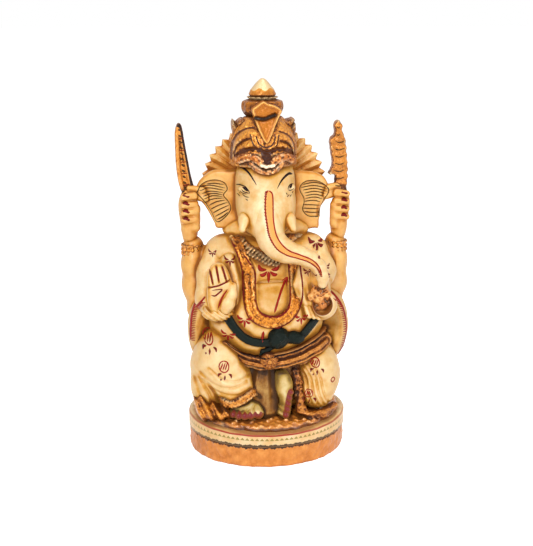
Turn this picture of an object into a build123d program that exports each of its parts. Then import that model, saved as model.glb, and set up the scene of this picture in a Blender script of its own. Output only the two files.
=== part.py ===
"""Seated Ganesha idol, carved and painted, on an oval plinth.

Millimetres. +Z is up, -Y is the way the figure faces, and the origin is the middle of the
plinth's underside. "Right" and "left" are the figure's own, so its right side is at -X.

Every carved mass is a closed solid of its own. Each is drawn deep enough to run into what it
sits on, and is then cut back to it, so that the two meet face to face.
"""

import math
import os

from build123d import *

# ---- Driving dimensions -------------------------------------------------------------------

# Oval plinth, in three layers
PLINTH_WIDTH = 65.0
PLINTH_DEPTH = 55.0
BLOCK_HEIGHT = 8.6
BAND_HEIGHT = 6.0
BAND_PROUD = 0.4
BLOCK_EDGE = 1.2
BED_HEIGHT = 2.6
BED_INSET = 2.0

# Body masses: how far up each sits, how far forward, and its half sizes
BELLY_RISE = 38.0
BELLY_Y = -2.0
BELLY_RADII = (23.6, 18.4, 19.6)
CHEST_RISE = 21.5
CHEST_Y = 1.0
CHEST_RADII = (22.5, 13.5, 15.0)
NECK_RISE = 12.5
NECK_RADII = (17.0, 9.0, 8.0)
HIP_RISE = 15.5
HIP_RADII = (26.5, 18.0, 19.0)
HIP_Y = 3.0

# Head and what it carries
HEAD_RISE = 28.5
HEAD_X = -0.9
HEAD_Y = -2.0
HEAD_RADII = (12.0, 11.5, 15.5)
EAR_THICK = 3.4
EAR_Y = 1.8
EAR_OUT = 26.5
TUSK_LENGTH = 8.0
TUSK_RADIUS = 2.1
TRUNK_ROOT_RADIUS = 6.6
TRUNK_TIP_RADIUS = 2.0

# Crown, in tiers from the brow to the tip
CROWN_X = -1.6
BRIM_HEIGHT = 4.4
BRIM_RADII = (12.6, 11.6)
DOME_HEIGHT = 13.5
DOME_TOP_RADII = (6.6, 6.0)
BULB_HEIGHT = 7.6
BULB_RADIUS = 7.9
COLLAR_RADIUS = 5.6
TIP_HEIGHT = 7.0
CREST_WIDTH = 10.6
CREST_HEIGHT = 14.0
CREST_THICK = 3.0
SCROLL_RADII = (5.2, 4.0, 3.6)
BROW_BAND_WIDTH = 2.4
BROW_BAND_PROUD = 1.6

# Halo behind the head
HALO_RADIUS = 25.4
HALO_THICK = 3.2
HALO_Y = 9.0
HALO_TEETH = 24
HALO_TOOTH = 1.5

# Rear pair of arms, raised, and what their hands hold
REAR_OUT = 29.4
REAR_Y = 6.0
REAR_ARM_RADIUS = 4.6
REAR_WRIST_RADIUS = 3.8
REAR_HAND_RADII = (3.5, 3.9, 9.5)
BANGLE_HEIGHT = 3.4
BANGLE_PROUD = 0.5
AXE_LENGTH = 28.0
AXE_WIDTH = 8.6
AXE_THICK = 4.0
GOAD_LENGTH = 28.0
GOAD_WIDTH = 7.0
GOAD_THICK = 4.4
BRIDGE_RADIUS = 1.7

# Front pair of arms
SLEEVE_RADIUS = 6.2
LEFT_SLEEVE_RADII = (7.2, 8.0, 10.5)
PALM_RADII = (4.3, 2.2, 10.0)
THUMB_RADIUS = 2.0
WRIST_BANGLE_RADII = (5.6, 4.6)
WRIST_BANGLE_HEIGHT = 4.4
BOWL_HAND_RADII = (5.6, 5.4, 5.0)
BOWL_RADIUS = 4.8
BOWL_DEPTH = 5.6
SWEET_RADIUS = 1.9

# Legs, feet and what they wear
RIGHT_KNEE_RADII = (11.4, 13.0, 14.0)
LEFT_KNEE_RADII = (11.2, 13.0, 14.4)
FOOT_WIDTH = 13.6
FOOT_LENGTH = 10.0
FOOT_HEIGHT = 9.6
ANKLET_RADIUS = 7.4
ANKLET_HEIGHT = 3.2

HEM_PROUD = 1.4
HEM_WIDTH = 3.4
FOLDS_RADII = (8.0, 7.5, 6.5)
PLEATS_RADIUS = 7.5

# Relief worn on the torso: how far each stands off the body
SCARF_PROUD = 1.0
SCARF_WIDTH = 4.4
SNAKE_PROUD = 1.5
SNAKE_WIDTH = 3.6
BELT_PROUD = 1.1
BELT_WIDTH = 5.0
MEDALLION_RADIUS = 3.5
MEDALLION_PROUD = 1.4
COLLAR_PROUD = 1.2
COLLAR_WIDTH = 3.2
KNOT_RADII = (3.4, 3.0, 3.2)
HOOD_RADII = (3.4, 2.8, 2.3)
SHAWL_RADII = (11.5, 9.5, 17.5)

# ---- Heights and places that follow from them ---------------------------------------------

RIM_Z = BLOCK_HEIGHT + BAND_HEIGHT
GROUND_Z = RIM_Z + BED_HEIGHT
HIP_Z = GROUND_Z + HIP_RISE
BELLY_Z = GROUND_Z + BELLY_RISE
BELLY_SIDE = BELLY_RADII[0]
BELLY_FRONT = BELLY_Y - BELLY_RADII[1]
CHEST_Z = BELLY_Z + CHEST_RISE
NECK_Z = CHEST_Z + NECK_RISE
HEAD_Z = CHEST_Z + HEAD_RISE
BROW_Z = HEAD_Z + 0.8 * HEAD_RADII[2]
DOME_Z = BROW_Z + BRIM_HEIGHT
BULB_Z = DOME_Z + DOME_HEIGHT
TIP_Z = BULB_Z + BULB_HEIGHT
CROWN_Y = HEAD_Y + 2.0
REAR_WRIST_Z = CHEST_Z + 3.0
REAR_HAND_Z = REAR_WRIST_Z + BANGLE_HEIGHT + REAR_HAND_RADII[2] - 0.8
ATTRIBUTE_Z = REAR_HAND_Z + REAR_HAND_RADII[2] + 3.4
KNEE_Y = -6.0
REACH = 100.0  # more than any size of the idol

# ---- Ways of making a carved mass ---------------------------------------------------------


def grown(radii, by):
    """Half sizes, each larger by the same amount."""
    return tuple(radius + by for radius in radii)


def ellipsoid(centre, radii, turn=(0, 0, 0)):
    """A sphere stretched to three half sizes, turned about X, Y, Z, then set at its centre."""
    return Pos(*centre) * Rot(*turn) * scale(Sphere(1), by=radii)


def directions(points):
    """The way a route runs at each of its points, from the point before to the one after."""
    last = len(points) - 1
    return [(points[min(i + 1, last)] - points[max(i - 1, 0)]).normalized() for i in range(last + 1)]


def limb(points, radii):
    """A tapering arm or trunk: circles square to a route, lofted through its points."""
    points = [Vector(*point) for point in points]
    circles = []
    for point, along, radius in zip(points, directions(points), radii):
        plane = Plane(origin=point, x_dir=along.cross(Vector(0, 1, 0)), z_dir=along)
        circles.append(plane * Circle(radius))
    return loft(circles)


def tier(centre, foot_radii, top_radii, height):
    """A crown tier or a step of ground: an oval foot drawn up to an oval top."""
    x, y, z = centre
    foot = Pos(x, y, z) * Ellipse(*foot_radii)
    top = Pos(x, y, z + height) * Ellipse(*top_radii)
    return loft([foot, top])


def plate(outline, front, thickness):
    """A flat piece facing the front: a closed outline in X and Z, from y = front backwards."""
    face = make_face(Plane.XZ * outline)
    return Pos(0, front, 0) * extrude(face, amount=thickness, dir=(0, 1, 0))


def front_band(points, width):
    """A band of even width along a route in X and Z, through everything in front of y = 0."""
    points = [Vector(*point) for point in points]
    sides = [Vector(-along.Y, along.X) * (width / 2) for along in directions(points)]
    left = Spline(*[point + side for point, side in zip(points, sides)])
    right = Spline(*[point - side for point, side in zip(points, sides)])
    outline = left + right + Line(left @ 0, right @ 0) + Line(left @ 1, right @ 1)
    return plate(outline, -REACH, REACH)


def turned_ring(centre, radius, proud, height):
    """A solid bangle: a disc with a rounded-off, slightly proud edge."""
    edge = 0.6
    rim = radius + proud
    profile = Polyline((0, 0), (radius, 0), (rim, edge), (rim, height - edge), (radius, height), (0, height))
    outline = make_face(Plane.XZ * (profile + Line((0, height), (0, 0))))
    return Pos(*centre) * revolve(outline, Axis.Z)


def fitted(piece, *neighbours):
    """A piece cut back to what it sits on; crumbs that the cut leaves are dropped."""
    for neighbour in neighbours:
        piece = piece - neighbour
    return max(piece.solids(), key=lambda solid: solid.volume)


def half_space(side):
    """Everything to one side of the middle plane."""
    return Pos(side * REACH, 0, 0) * Box(2 * REACH, 4 * REACH, 4 * REACH)


SIDES = (("right", -1), ("left", 1))
below_ground = Pos(0, 0, GROUND_Z - REACH) * Box(4 * REACH, 4 * REACH, 2 * REACH)
parts = {}

# ---- Plinth: two oval layers and the carved ground on them --------------------------------

plinth_radii = (PLINTH_WIDTH / 2, PLINTH_DEPTH / 2)
block = extrude(Ellipse(*grown(plinth_radii, -BAND_PROUD)), amount=BLOCK_HEIGHT)
band = Pos(0, 0, BLOCK_HEIGHT) * extrude(Ellipse(*plinth_radii), amount=BAND_HEIGHT)
bed_radii = grown(plinth_radii, -BED_INSET)
parts["plinth_block"] = fillet(block.edges().group_by(Axis.Z)[0], BLOCK_EDGE)
parts["plinth_band"] = fillet(band.edges(), BLOCK_EDGE)
parts["ground_bed"] = tier((0, 0, RIM_Z), bed_radii, grown(bed_radii, -BED_HEIGHT), BED_HEIGHT)

# ---- Torso and hips -----------------------------------------------------------------------

belly = ellipsoid((-0.5, BELLY_Y, BELLY_Z), BELLY_RADII)
chest_centre = (-0.3, CHEST_Y, CHEST_Z)
chest = ellipsoid(chest_centre, CHEST_RADII)
neck = ellipsoid((0, CHEST_Y + 1.5, NECK_Z), NECK_RADII)
hips = ellipsoid((0, HIP_Y, HIP_Z), HIP_RADII) - below_ground
parts["belly"] = belly
parts["chest"] = fitted(chest, belly)
parts["neck"] = fitted(neck, chest, belly)
parts["hips"] = fitted(hips, belly, chest)

# ---- Head, ears, tusks and trunk ----------------------------------------------------------

head_centre = (HEAD_X, HEAD_Y, HEAD_Z)
head = ellipsoid(head_centre, HEAD_RADII)

# The trunk leaves the brow, swings to the figure's left and curls down to the sweets: each
# point is across, forward and down from the head's centre, with its share of the taper
TRUNK_ROUTE = (
    (-0.2, 7.0, 6.0, 1.0),
    (-0.9, 12.0, -4.5, 0.95),
    (0.7, 16.0, -13.5, 0.72),
    (6.2, 18.5, -18.2, 0.62),
    (12.0, 19.5, -19.6, 0.54),
    (17.6, 20.0, -23.5, 0.42),
    (20.0, 20.0, -30.0, 0.3),
    (19.2, 20.0, -33.5, 0.0),
)
trunk_points = [(HEAD_X + x, HEAD_Y - y, HEAD_Z + z) for x, y, z, share in TRUNK_ROUTE]
trunk_taper = TRUNK_ROOT_RADIUS - TRUNK_TIP_RADIUS
trunk = limb(trunk_points, [TRUNK_TIP_RADIUS + trunk_taper * point[3] for point in TRUNK_ROUTE])
parts["head"] = fitted(head, neck, chest)
parts["trunk"] = fitted(trunk, head, chest, neck, belly)


def tusk(side):
    """A short tusk, tapering down, outwards and forward from beside the trunk."""
    root = (HEAD_X + side * 6.2, HEAD_Y - 9.0, HEAD_Z - 4.0)
    tip = (root[0] + side * 3.4, root[1] - 5.0, root[2] - TUSK_LENGTH)
    middle = tuple((a + b) / 2 for a, b in zip(root, tip))
    return limb([root, middle, tip], (TUSK_RADIUS, TUSK_RADIUS * 0.95, TUSK_RADIUS * 0.5))


def ear(side):
    """An ear plate: straight where it meets the head, full at the top, drawn in below."""
    inner = HEAD_RADII[0] - 4.0
    rim = (
        (inner, 7.5),
        (inner + 6.0, 9.8),
        (EAR_OUT - 3.5, 6.5),
        (EAR_OUT, 0.8),
        (EAR_OUT - 3.5, -6.0),
        (EAR_OUT - 6.0, -13.6),
    )
    points = [(HEAD_X + side * x, HEAD_Z + z) for x, z in rim]
    foot = (HEAD_X + side * inner, HEAD_Z - 13.0)
    outline = Spline(*points) + Line(points[-1], foot) + Line(foot, points[0])
    return plate(outline, EAR_Y - EAR_THICK / 2, EAR_THICK)


ears = {name: ear(side) for name, side in SIDES}
for name, side in SIDES:
    parts[f"{name}_tusk"] = fitted(tusk(side), head, trunk, chest, neck)
    parts[f"{name}_ear"] = fitted(ears[name], head, neck, chest)

# ---- Crown --------------------------------------------------------------------------------

brim = tier((CROWN_X, HEAD_Y, BROW_Z), BRIM_RADII, grown(BRIM_RADII, 0.7), BRIM_HEIGHT)
dome_waist = grown(BRIM_RADII, -1.8)
dome_middle = (DOME_Z + BULB_Z) / 2
dome = loft(
    [
        Pos(CROWN_X, HEAD_Y, DOME_Z) * Ellipse(*BRIM_RADII),
        Pos(CROWN_X, HEAD_Y + 1.0, dome_middle) * Ellipse(*dome_waist),
        Pos(CROWN_X, CROWN_Y, BULB_Z) * Ellipse(*DOME_TOP_RADII),
    ]
)
bulb_centre = (CROWN_X, CROWN_Y, BULB_Z + BULB_HEIGHT / 2 - 0.6)
bulb = ellipsoid(bulb_centre, (BULB_RADIUS, BULB_RADIUS - 1.0, BULB_HEIGHT / 2 + 1.0))
above_bulb = Pos(0, 0, TIP_Z + REACH) * Box(2 * REACH, 2 * REACH, 2 * REACH)
tip_profile = ((0.0, COLLAR_RADIUS - 0.4), (0.22, COLLAR_RADIUS), (0.62, 0.62 * COLLAR_RADIUS), (1.0, 1.0))
tip_circles = [Pos(0, 0, TIP_HEIGHT * up) * Circle(radius) for up, radius in tip_profile]
crest_top = BULB_Z + 0.8 * BULB_HEIGHT
crest_shoulder = crest_top - 0.3 * CREST_HEIGHT
crest_outline = Polyline(
    (CROWN_X, crest_top),
    (CROWN_X + CREST_WIDTH / 2, crest_shoulder),
    (CROWN_X, crest_top - CREST_HEIGHT),
    (CROWN_X - CREST_WIDTH / 2, crest_shoulder),
    close=True,
)
crest = plate(crest_outline, HEAD_Y - BRIM_RADII[1] + 1.0, BRIM_RADII[1])
parts["crown_brim"] = fitted(brim, head)
parts["crown_dome"] = fitted(dome, head)
parts["crown_bulb"] = fitted(bulb, above_bulb, dome)
parts["crown_tip"] = Pos(CROWN_X, CROWN_Y, TIP_Z) * loft(tip_circles)
parts["crown_crest"] = fitted(crest, dome, bulb, head, brim)
scrolls = {}
for name, side in SIDES:
    place = (CROWN_X + side * 9.0, CROWN_Y + 2.0, DOME_Z + 0.78 * DOME_HEIGHT)
    scrolls[name] = ellipsoid(place, SCROLL_RADII, (0, side * 35, 0))
    parts[f"crown_{name}_scroll"] = fitted(scrolls[name], dome, bulb, crest)

BROW_ROUTE = ((-6.5, 1.0), (-3.6, -2.4), (0.0, -3.6), (3.6, -2.4), (6.5, 1.0))
brow_band = front_band([(CROWN_X + x, BROW_Z + z) for x, z in BROW_ROUTE], BROW_BAND_WIDTH)
brow_ornament = brow_band & ellipsoid(head_centre, grown(HEAD_RADII, BROW_BAND_PROUD))
parts["brow_ornament"] = fitted(brow_ornament, head, brim, trunk)

# ---- Halo: a toothed fan behind the head --------------------------------------------------

HALO_SWEEP = 196.0
halo_points = []
for i in range(2 * HALO_TEETH + 1):
    angle = math.radians(90 - HALO_SWEEP / 2 + HALO_SWEEP * i / (2 * HALO_TEETH))
    radius = HALO_RADIUS - HALO_TOOTH * (i % 2)
    halo_points.append((radius * math.cos(angle), HEAD_Z + 1.0 + radius * math.sin(angle)))
halo = plate(Polyline(*halo_points, close=True), HALO_Y - HALO_THICK / 2, HALO_THICK)
halo_neighbours = [head, brim, dome, bulb, neck, *ears.values(), *scrolls.values()]
parts["halo"] = fitted(halo, *halo_neighbours)

# ---- Rear arms, hands and what they hold --------------------------------------------------


def rear_arm(side):
    """The upper arm down and out to the elbow, and the forearm straight up from it."""
    elbow = (side * (REAR_OUT - 0.8), REAR_Y - 1.5, CHEST_Z - 18.5)
    upper = [(side * (CHEST_RADII[0] - 5.5), CHEST_Y + 2.5, CHEST_Z + 6.5)]
    upper += [(side * (REAR_OUT - 4.4), REAR_Y - 2.0, CHEST_Z - 7.0), (elbow[0], elbow[1], CHEST_Z - 17.5)]
    fore = [(elbow[0], elbow[1], CHEST_Z - 19.5), (side * (REAR_OUT - 0.2), REAR_Y - 1.0, CHEST_Z - 9.0)]
    fore += [(side * REAR_OUT, REAR_Y, REAR_WRIST_Z)]
    width = REAR_ARM_RADIUS
    arm = limb(upper, (width + 2.4, width + 1.0, width + 0.4))
    arm += limb(fore, (width + 0.4, width, REAR_WRIST_RADIUS))
    return arm + ellipsoid(elbow, (width + 0.7, width + 0.8, width))


def rear_hand(side):
    """A raised hand: a long palm, and the fingers closed round the handle above it."""
    palm = ellipsoid((side * REAR_OUT, REAR_Y, REAR_HAND_Z), REAR_HAND_RADII)
    fingers = (side * (REAR_OUT + 0.8), REAR_Y - 0.8, REAR_HAND_Z + 0.6 * REAR_HAND_RADII[2])
    return palm + ellipsoid(fingers, (REAR_HAND_RADII[0] + 0.6, REAR_HAND_RADII[1] + 0.3, 4.9))


rear_arms = {name: rear_arm(side) for name, side in SIDES}
rear_hands = {name: rear_hand(side) for name, side in SIDES}
bridges = {}
for name, side in SIDES:
    wrist = (side * REAR_OUT, REAR_Y, REAR_WRIST_Z)
    bangle = turned_ring(wrist, REAR_WRIST_RADIUS, BANGLE_PROUD, BANGLE_HEIGHT)
    parts[f"{name}_rear_arm"] = fitted(rear_arms[name], chest, belly, neck)
    parts[f"{name}_rear_bangle"] = fitted(bangle, rear_arms[name], chest, neck)
    parts[f"{name}_rear_hand"] = fitted(rear_hands[name], bangle, neck)
    bridge_length = REAR_OUT - EAR_OUT + 4.0
    bridge_place = Pos(side * (REAR_OUT - bridge_length / 2), (EAR_Y + REAR_Y) / 2, HEAD_Z - 2.4)
    bridges[name] = bridge_place * Rot(0, 90, 0) * Cylinder(BRIDGE_RADIUS, bridge_length)
    parts[f"{name}_ear_bridge"] = fitted(bridges[name], rear_hands[name], ears[name])

# Each attribute's edges, up from its foot: across as a share of its width, up as a share of
# its length
AXE_OUTER = ((-0.27, 0.0), (-0.62, 0.36), (-0.66, 0.62), (-0.70, 0.80), (-0.46, 1.0))
AXE_INNER = ((-0.46, 1.0), (-0.18, 0.74), (0.22, 0.36), (0.27, 0.0))
GOAD_OUTER = ((0.35, 0.0), (0.40, 0.35), (0.25, 0.62), (0.23, 0.84), (-0.03, 1.0))
GOAD_INNER = ((-0.03, 1.0), (-0.28, 0.88), (-0.55, 0.76), (-0.23, 0.60), (-0.40, 0.30), (-0.35, 0.0))


def attribute(foot_x, size, outer, inner):
    """A flat carved attribute standing on a hand, between two curved edges."""
    width, length, thickness = size
    edges = []
    for side in (outer, inner):
        edges.append(Spline(*[(foot_x + x * width, ATTRIBUTE_Z + z * length) for x, z in side]))
    foot = Line(edges[1] @ 1, edges[0] @ 0)
    return plate(edges[0] + edges[1] + foot, REAR_Y - thickness / 2, thickness)


axe = attribute(-REAR_OUT + 0.3, (AXE_WIDTH, AXE_LENGTH, AXE_THICK), AXE_OUTER, AXE_INNER)
goad = attribute(REAR_OUT + 0.6, (GOAD_WIDTH, GOAD_LENGTH, GOAD_THICK), GOAD_OUTER, GOAD_INNER)
parts["battle_axe"] = fitted(axe, rear_hands["right"], bridges["right"], halo)
parts["elephant_goad"] = fitted(goad, rear_hands["left"], bridges["left"], halo)

# ---- Legs and feet ------------------------------------------------------------------------

right_knee = (-20.0, KNEE_Y, GROUND_Z + 20.0)
right_shin = (-17.5, KNEE_Y - 3.0, GROUND_Z + 16.0)
right_ankle = (-12.6, KNEE_Y - 9.0, GROUND_Z + 10.5)
left_knee = (19.0, KNEE_Y - 0.5, GROUND_Z + 16.0)
left_turn = (0, -14, 0)
right_leg = ellipsoid(right_knee, RIGHT_KNEE_RADII, (0, 12, 0)) - below_ground
right_leg += limb([right_shin, right_ankle], (ANKLET_RADIUS + 1.6, ANKLET_RADIUS - 0.5))
left_leg = ellipsoid(left_knee, LEFT_KNEE_RADII, left_turn) - below_ground
parts["right_leg"] = fitted(right_leg, belly, hips)
parts["left_leg"] = fitted(left_leg, belly, hips)

ankle_plane = Plane(origin=right_ankle, z_dir=(0.28, -0.25, -1))
anklet = extrude(ankle_plane * Ellipse(ANKLET_RADIUS, 0.85 * ANKLET_RADIUS), amount=ANKLET_HEIGHT)
right_foot_centre = (right_ankle[0] + 2.4, right_ankle[1] + 5.4, GROUND_Z)
right_foot = ellipsoid(right_foot_centre, (FOOT_WIDTH / 2, FOOT_LENGTH, FOOT_HEIGHT)) - below_ground
left_foot = ellipsoid((4.9, KNEE_Y - 9.0, GROUND_Z + 9.0), (4.2, 5.0, 9.6), (0, -6, 0)) - below_ground
parts["right_anklet"] = fitted(anklet, right_leg, hips)
parts["right_foot"] = fitted(right_foot, anklet, right_leg, hips)
parts["left_foot"] = fitted(left_foot, left_leg, hips)

HEM_ROUTE = ((8.6, 20.5), (10.3, 12.0), (9.6, 4.0), (11.5, 0.0))
hem = ellipsoid(left_knee, grown(LEFT_KNEE_RADII, HEM_PROUD), left_turn)
hem &= front_band([(x, GROUND_Z + z) for x, z in HEM_ROUTE], HEM_WIDTH)
parts["left_leg_hem"] = fitted(hem, left_leg, left_foot, hips, belly, below_ground)

pleat_points = [(-3.5, -9.5, GROUND_Z + 24.0), (-2.5, -12.0, GROUND_Z + 10.0), (-2.2, -14.0, GROUND_Z)]
pleats = limb(pleat_points, [PLEATS_RADIUS] * 3)
folds = ellipsoid((right_knee[0] - 2.5, right_knee[1] - 6.0, GROUND_Z), FOLDS_RADII) - below_ground
legs = (belly, hips, right_leg, left_leg)
parts["right_hem_folds"] = fitted(folds, right_leg, hips, anklet, right_foot)

# ---- Front arms and what they hold --------------------------------------------------------

front_y = BELLY_FRONT
hand_x = -(BELLY_SIDE - 3.9)
right_wrist = (hand_x, front_y + 6.2, CHEST_Z - 14.8)
sleeve_points = [
    (-(CHEST_RADII[0] - 4.0), CHEST_Y - 2.0, CHEST_Z + 6.0),
    (-BELLY_SIDE, front_y + 16.4, CHEST_Z - 6.0),
    (-BELLY_SIDE, front_y + 11.6, CHEST_Z - 16.5),
]
right_sleeve = limb(sleeve_points, (SLEEVE_RADIUS, SLEEVE_RADIUS, SLEEVE_RADIUS - 0.6))
left_sleeve = ellipsoid((16.0, CHEST_Y - 9.5, CHEST_Z - 4.5), LEFT_SLEEVE_RADII, (0, -12, 0))
bangle_plane = Plane(origin=right_wrist, z_dir=(0, 0, -1))
wrist_bangle = extrude(bangle_plane * Ellipse(*WRIST_BANGLE_RADII), amount=WRIST_BANGLE_HEIGHT)
palm_z = right_wrist[2] + PALM_RADII[2] - 0.8
palm = ellipsoid((hand_x, front_y + 5.0, palm_z), PALM_RADII)
thumb_points = [
    (hand_x + 1.7, front_y + 4.8, palm_z - 6.4),
    (hand_x + 4.3, front_y + 4.2, palm_z - 3.0),
    (hand_x + 4.7, front_y + 4.4, palm_z - 0.8),
]
blessing_hand = palm + limb(thumb_points, (THUMB_RADIUS, 0.75 * THUMB_RADIUS, 0.45 * THUMB_RADIUS))
parts["right_front_sleeve"] = fitted(right_sleeve, belly, chest, rear_arms["right"])
parts["right_wrist_bangle"] = fitted(wrist_bangle, right_sleeve, belly, chest)
parts["right_blessing_hand"] = fitted(blessing_hand, right_sleeve, wrist_bangle, chest, belly)
parts["left_front_sleeve"] = fitted(left_sleeve, belly, chest, rear_arms["left"])

bowl_centre = (BELLY_SIDE - 2.8, front_y + 5.0, CHEST_Z - 14.0)
x, y, z = bowl_centre
bowl_ball = ellipsoid(bowl_centre, (BOWL_RADIUS, BOWL_RADIUS, BOWL_DEPTH))
above_bowl = Pos(x, y, z + REACH) * Box(2 * REACH, 2 * REACH, 2 * REACH)
bowl = bowl_ball - above_bowl
bowl_hand = ellipsoid((x - 4.2, y + 1.8, z - 2.2), BOWL_HAND_RADII)
bowl_hand += ellipsoid((x, y + 3.9, z - 3.5), (5.6, 6.5, 4.2))
heap = ellipsoid((x - 0.6, y, z + 0.8), (3.6, 3.8, 3.6))
heap += ellipsoid((x - 1.6, y, z + 5.2), (SWEET_RADIUS + 0.4, SWEET_RADIUS + 0.5, SWEET_RADIUS + 0.9))
parts["sweet_bowl"] = fitted(bowl, left_sleeve, chest, belly)
parts["left_bowl_hand"] = fitted(bowl_hand, bowl_ball, left_sleeve, belly, chest)
parts["sweets"] = fitted(heap, bowl, left_sleeve, bowl_hand, chest, belly, trunk)

# ---- Relief worn on the torso -------------------------------------------------------------


def worn(route, width, proud, foot_z):
    """A band raised on the torso by an even amount, along a route up from foot_z."""
    skin = ellipsoid((-0.5, BELLY_Y, BELLY_Z), grown(BELLY_RADII, proud))
    skin += ellipsoid(chest_centre, grown(CHEST_RADII, proud))
    return (skin & front_band([(x, foot_z + z) for x, z in route], width)) - belly - chest


SCARF_ROUTE = (
    (-11.8, 30.5),
    (-10.6, 22.5),
    (-8.4, 14.0),
    (-5.4, 6.0),
    (-0.6, 3.0),
    (5.0, 6.2),
    (8.6, 12.0),
    (10.0, 17.5),
    (9.6, 25.5),
)
SNAKE_ROUTE = (
    (-19.6, 6.6),
    (-14.8, -1.2),
    (-8.6, -4.6),
    (-2.0, -5.0),
    (4.4, -3.6),
    (11.6, -3.0),
    (18.6, 1.2),
)
BELT_ROUTE = ((-18.6, -9.2), (-12.6, -12.6), (-7.0, -14.0), (0.0, -14.0), (10.9, -11.4), (18.6, -8.4))
COLLAR_ROUTE = ((-9.8, 13.2), (-4.0, 6.0), (2.0, 4.4), (7.6, 6.6), (12.0, 13.0))
scarf = worn(SCARF_ROUTE, SCARF_WIDTH, SCARF_PROUD, BELLY_Z)
snake = worn(SNAKE_ROUTE, SNAKE_WIDTH, SNAKE_PROUD, BELLY_Z)
belt = worn(BELT_ROUTE, BELT_WIDTH, BELT_PROUD, BELLY_Z)
collar = worn(COLLAR_ROUTE, COLLAR_WIDTH, COLLAR_PROUD, CHEST_Z)
knot = ellipsoid((2.4, BELLY_FRONT + 0.6, BELLY_Z - 3.6), KNOT_RADII)
knot += ellipsoid((8.4, BELLY_FRONT + 2.4, BELLY_Z - 5.4), HOOD_RADII, (0, 18, 0))
medallion_middle = (-1.2, BELLY_Y - 0.8 * BELLY_RADII[1], BELLY_Z - 13.0)
medallion_plane = Plane(origin=medallion_middle, z_dir=(0, -1, -0.35))
medallion = extrude(medallion_plane * Circle(MEDALLION_RADIUS), amount=MEDALLION_PROUD + 1.0, both=True)
hand_and_bowl = (bowl_hand, bowl_ball)
parts["snake_knot"] = fitted(knot, belly, *hand_and_bowl)
parts["belt_medallion"] = fitted(medallion, *legs, snake)
parts["long_scarf"] = fitted(scarf, snake, knot, right_sleeve, left_sleeve, *hand_and_bowl, trunk, head)
parts["collar"] = fitted(collar, neck, trunk, scarf, left_sleeve, right_sleeve, head)
for name, side in SIDES:
    snake_half = snake & half_space(side)
    belt_half = belt & half_space(side)
    wearer = (knot, *hand_and_bowl, right_sleeve, wrist_bangle)
    parts[f"snake_belt_{name}"] = fitted(snake_half, *wearer)
    parts[f"waist_belt_{name}"] = fitted(belt_half, medallion, snake, knot, *legs)
front_neighbours = (left_foot, hem, anklet, right_foot, medallion, belt)
parts["front_pleats"] = fitted(pleats, below_ground, *legs, *front_neighbours)

# ---- Shawls over the elbows ---------------------------------------------------------------

for name, side in SIDES:
    shawl = ellipsoid((side * 20.5, CHEST_Y + 0.5, GROUND_Z + 32.5), SHAWL_RADII, (0, side * -8, 0))
    torso = (hips, belly, chest, snake, belt)
    near = (right_leg, right_sleeve, wrist_bangle) if side < 0 else (left_leg, left_sleeve, *hand_and_bowl)
    parts[f"{name}_shawl"] = fitted(shawl, *torso, *near, rear_arms[name])

# ---- Hand-in ------------------------------------------------------------------------------

os.makedirs("parts", exist_ok=True)
for name, shape in parts.items():
    export_step(shape, f"parts/{name}.step")
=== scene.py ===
import math

import bpy
import numpy as np
import openvdb as vdb
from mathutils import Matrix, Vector


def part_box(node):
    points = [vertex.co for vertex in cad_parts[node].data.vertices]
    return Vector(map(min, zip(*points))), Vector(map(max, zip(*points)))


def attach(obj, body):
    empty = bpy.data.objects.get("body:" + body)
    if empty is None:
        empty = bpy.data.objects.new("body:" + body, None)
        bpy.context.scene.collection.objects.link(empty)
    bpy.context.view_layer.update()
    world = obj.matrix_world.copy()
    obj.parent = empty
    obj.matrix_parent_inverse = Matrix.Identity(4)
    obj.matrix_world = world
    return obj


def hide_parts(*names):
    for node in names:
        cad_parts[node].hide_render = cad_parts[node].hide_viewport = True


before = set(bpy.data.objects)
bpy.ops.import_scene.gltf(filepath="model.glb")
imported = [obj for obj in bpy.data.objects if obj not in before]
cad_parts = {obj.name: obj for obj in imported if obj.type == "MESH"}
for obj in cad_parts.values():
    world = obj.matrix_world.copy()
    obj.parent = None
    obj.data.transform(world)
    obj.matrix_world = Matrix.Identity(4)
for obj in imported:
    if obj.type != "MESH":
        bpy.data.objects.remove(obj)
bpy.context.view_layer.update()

# ---- Carving tools, and the torso ----------------------------------------------------------
# The real idol is one block, carved in the round and painted. Each carved mass is a piece of
# its own here. Places are millimetres in the CAD frame; the big masses take theirs from the
# boxes of the CAD nodes.

MM = 0.001
FINE = 0.32  # spacing of the carving grid, in mm
PLAIN = 0.38  # its spacing for plain masses
HIDDEN = 0.45  # its spacing for the mass behind the legs
carved = []


def node_box(node):
    """The lowest and highest corners of a CAD node, in mm."""
    low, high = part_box(node)
    return np.array(low) / MM, np.array(high) / MM


def around(node, below, above):
    """The corners of a CAD node's box, moved out by a margin, in mm."""
    low, high = node_box(node)
    return low - below, high + above


def middle(node):
    """The centre of a CAD node's box, in mm."""
    low, high = node_box(node)
    return (low + high) / 2


def half(node):
    """Half the size of a CAD node's box, in mm."""
    low, high = node_box(node)
    return (high - low) / 2


def turn(rx, ry, rz):
    """A rotation matrix from degrees about X, then Y, then Z."""
    a, b, c = np.radians((rx, ry, rz))
    about_x = np.array([[1, 0, 0], [0, np.cos(a), -np.sin(a)], [0, np.sin(a), np.cos(a)]])
    about_y = np.array([[np.cos(b), 0, np.sin(b)], [0, 1, 0], [-np.sin(b), 0, np.cos(b)]])
    about_z = np.array([[np.cos(c), -np.sin(c), 0], [np.sin(c), np.cos(c), 0], [0, 0, 1]])
    return about_z @ about_y @ about_x


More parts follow.
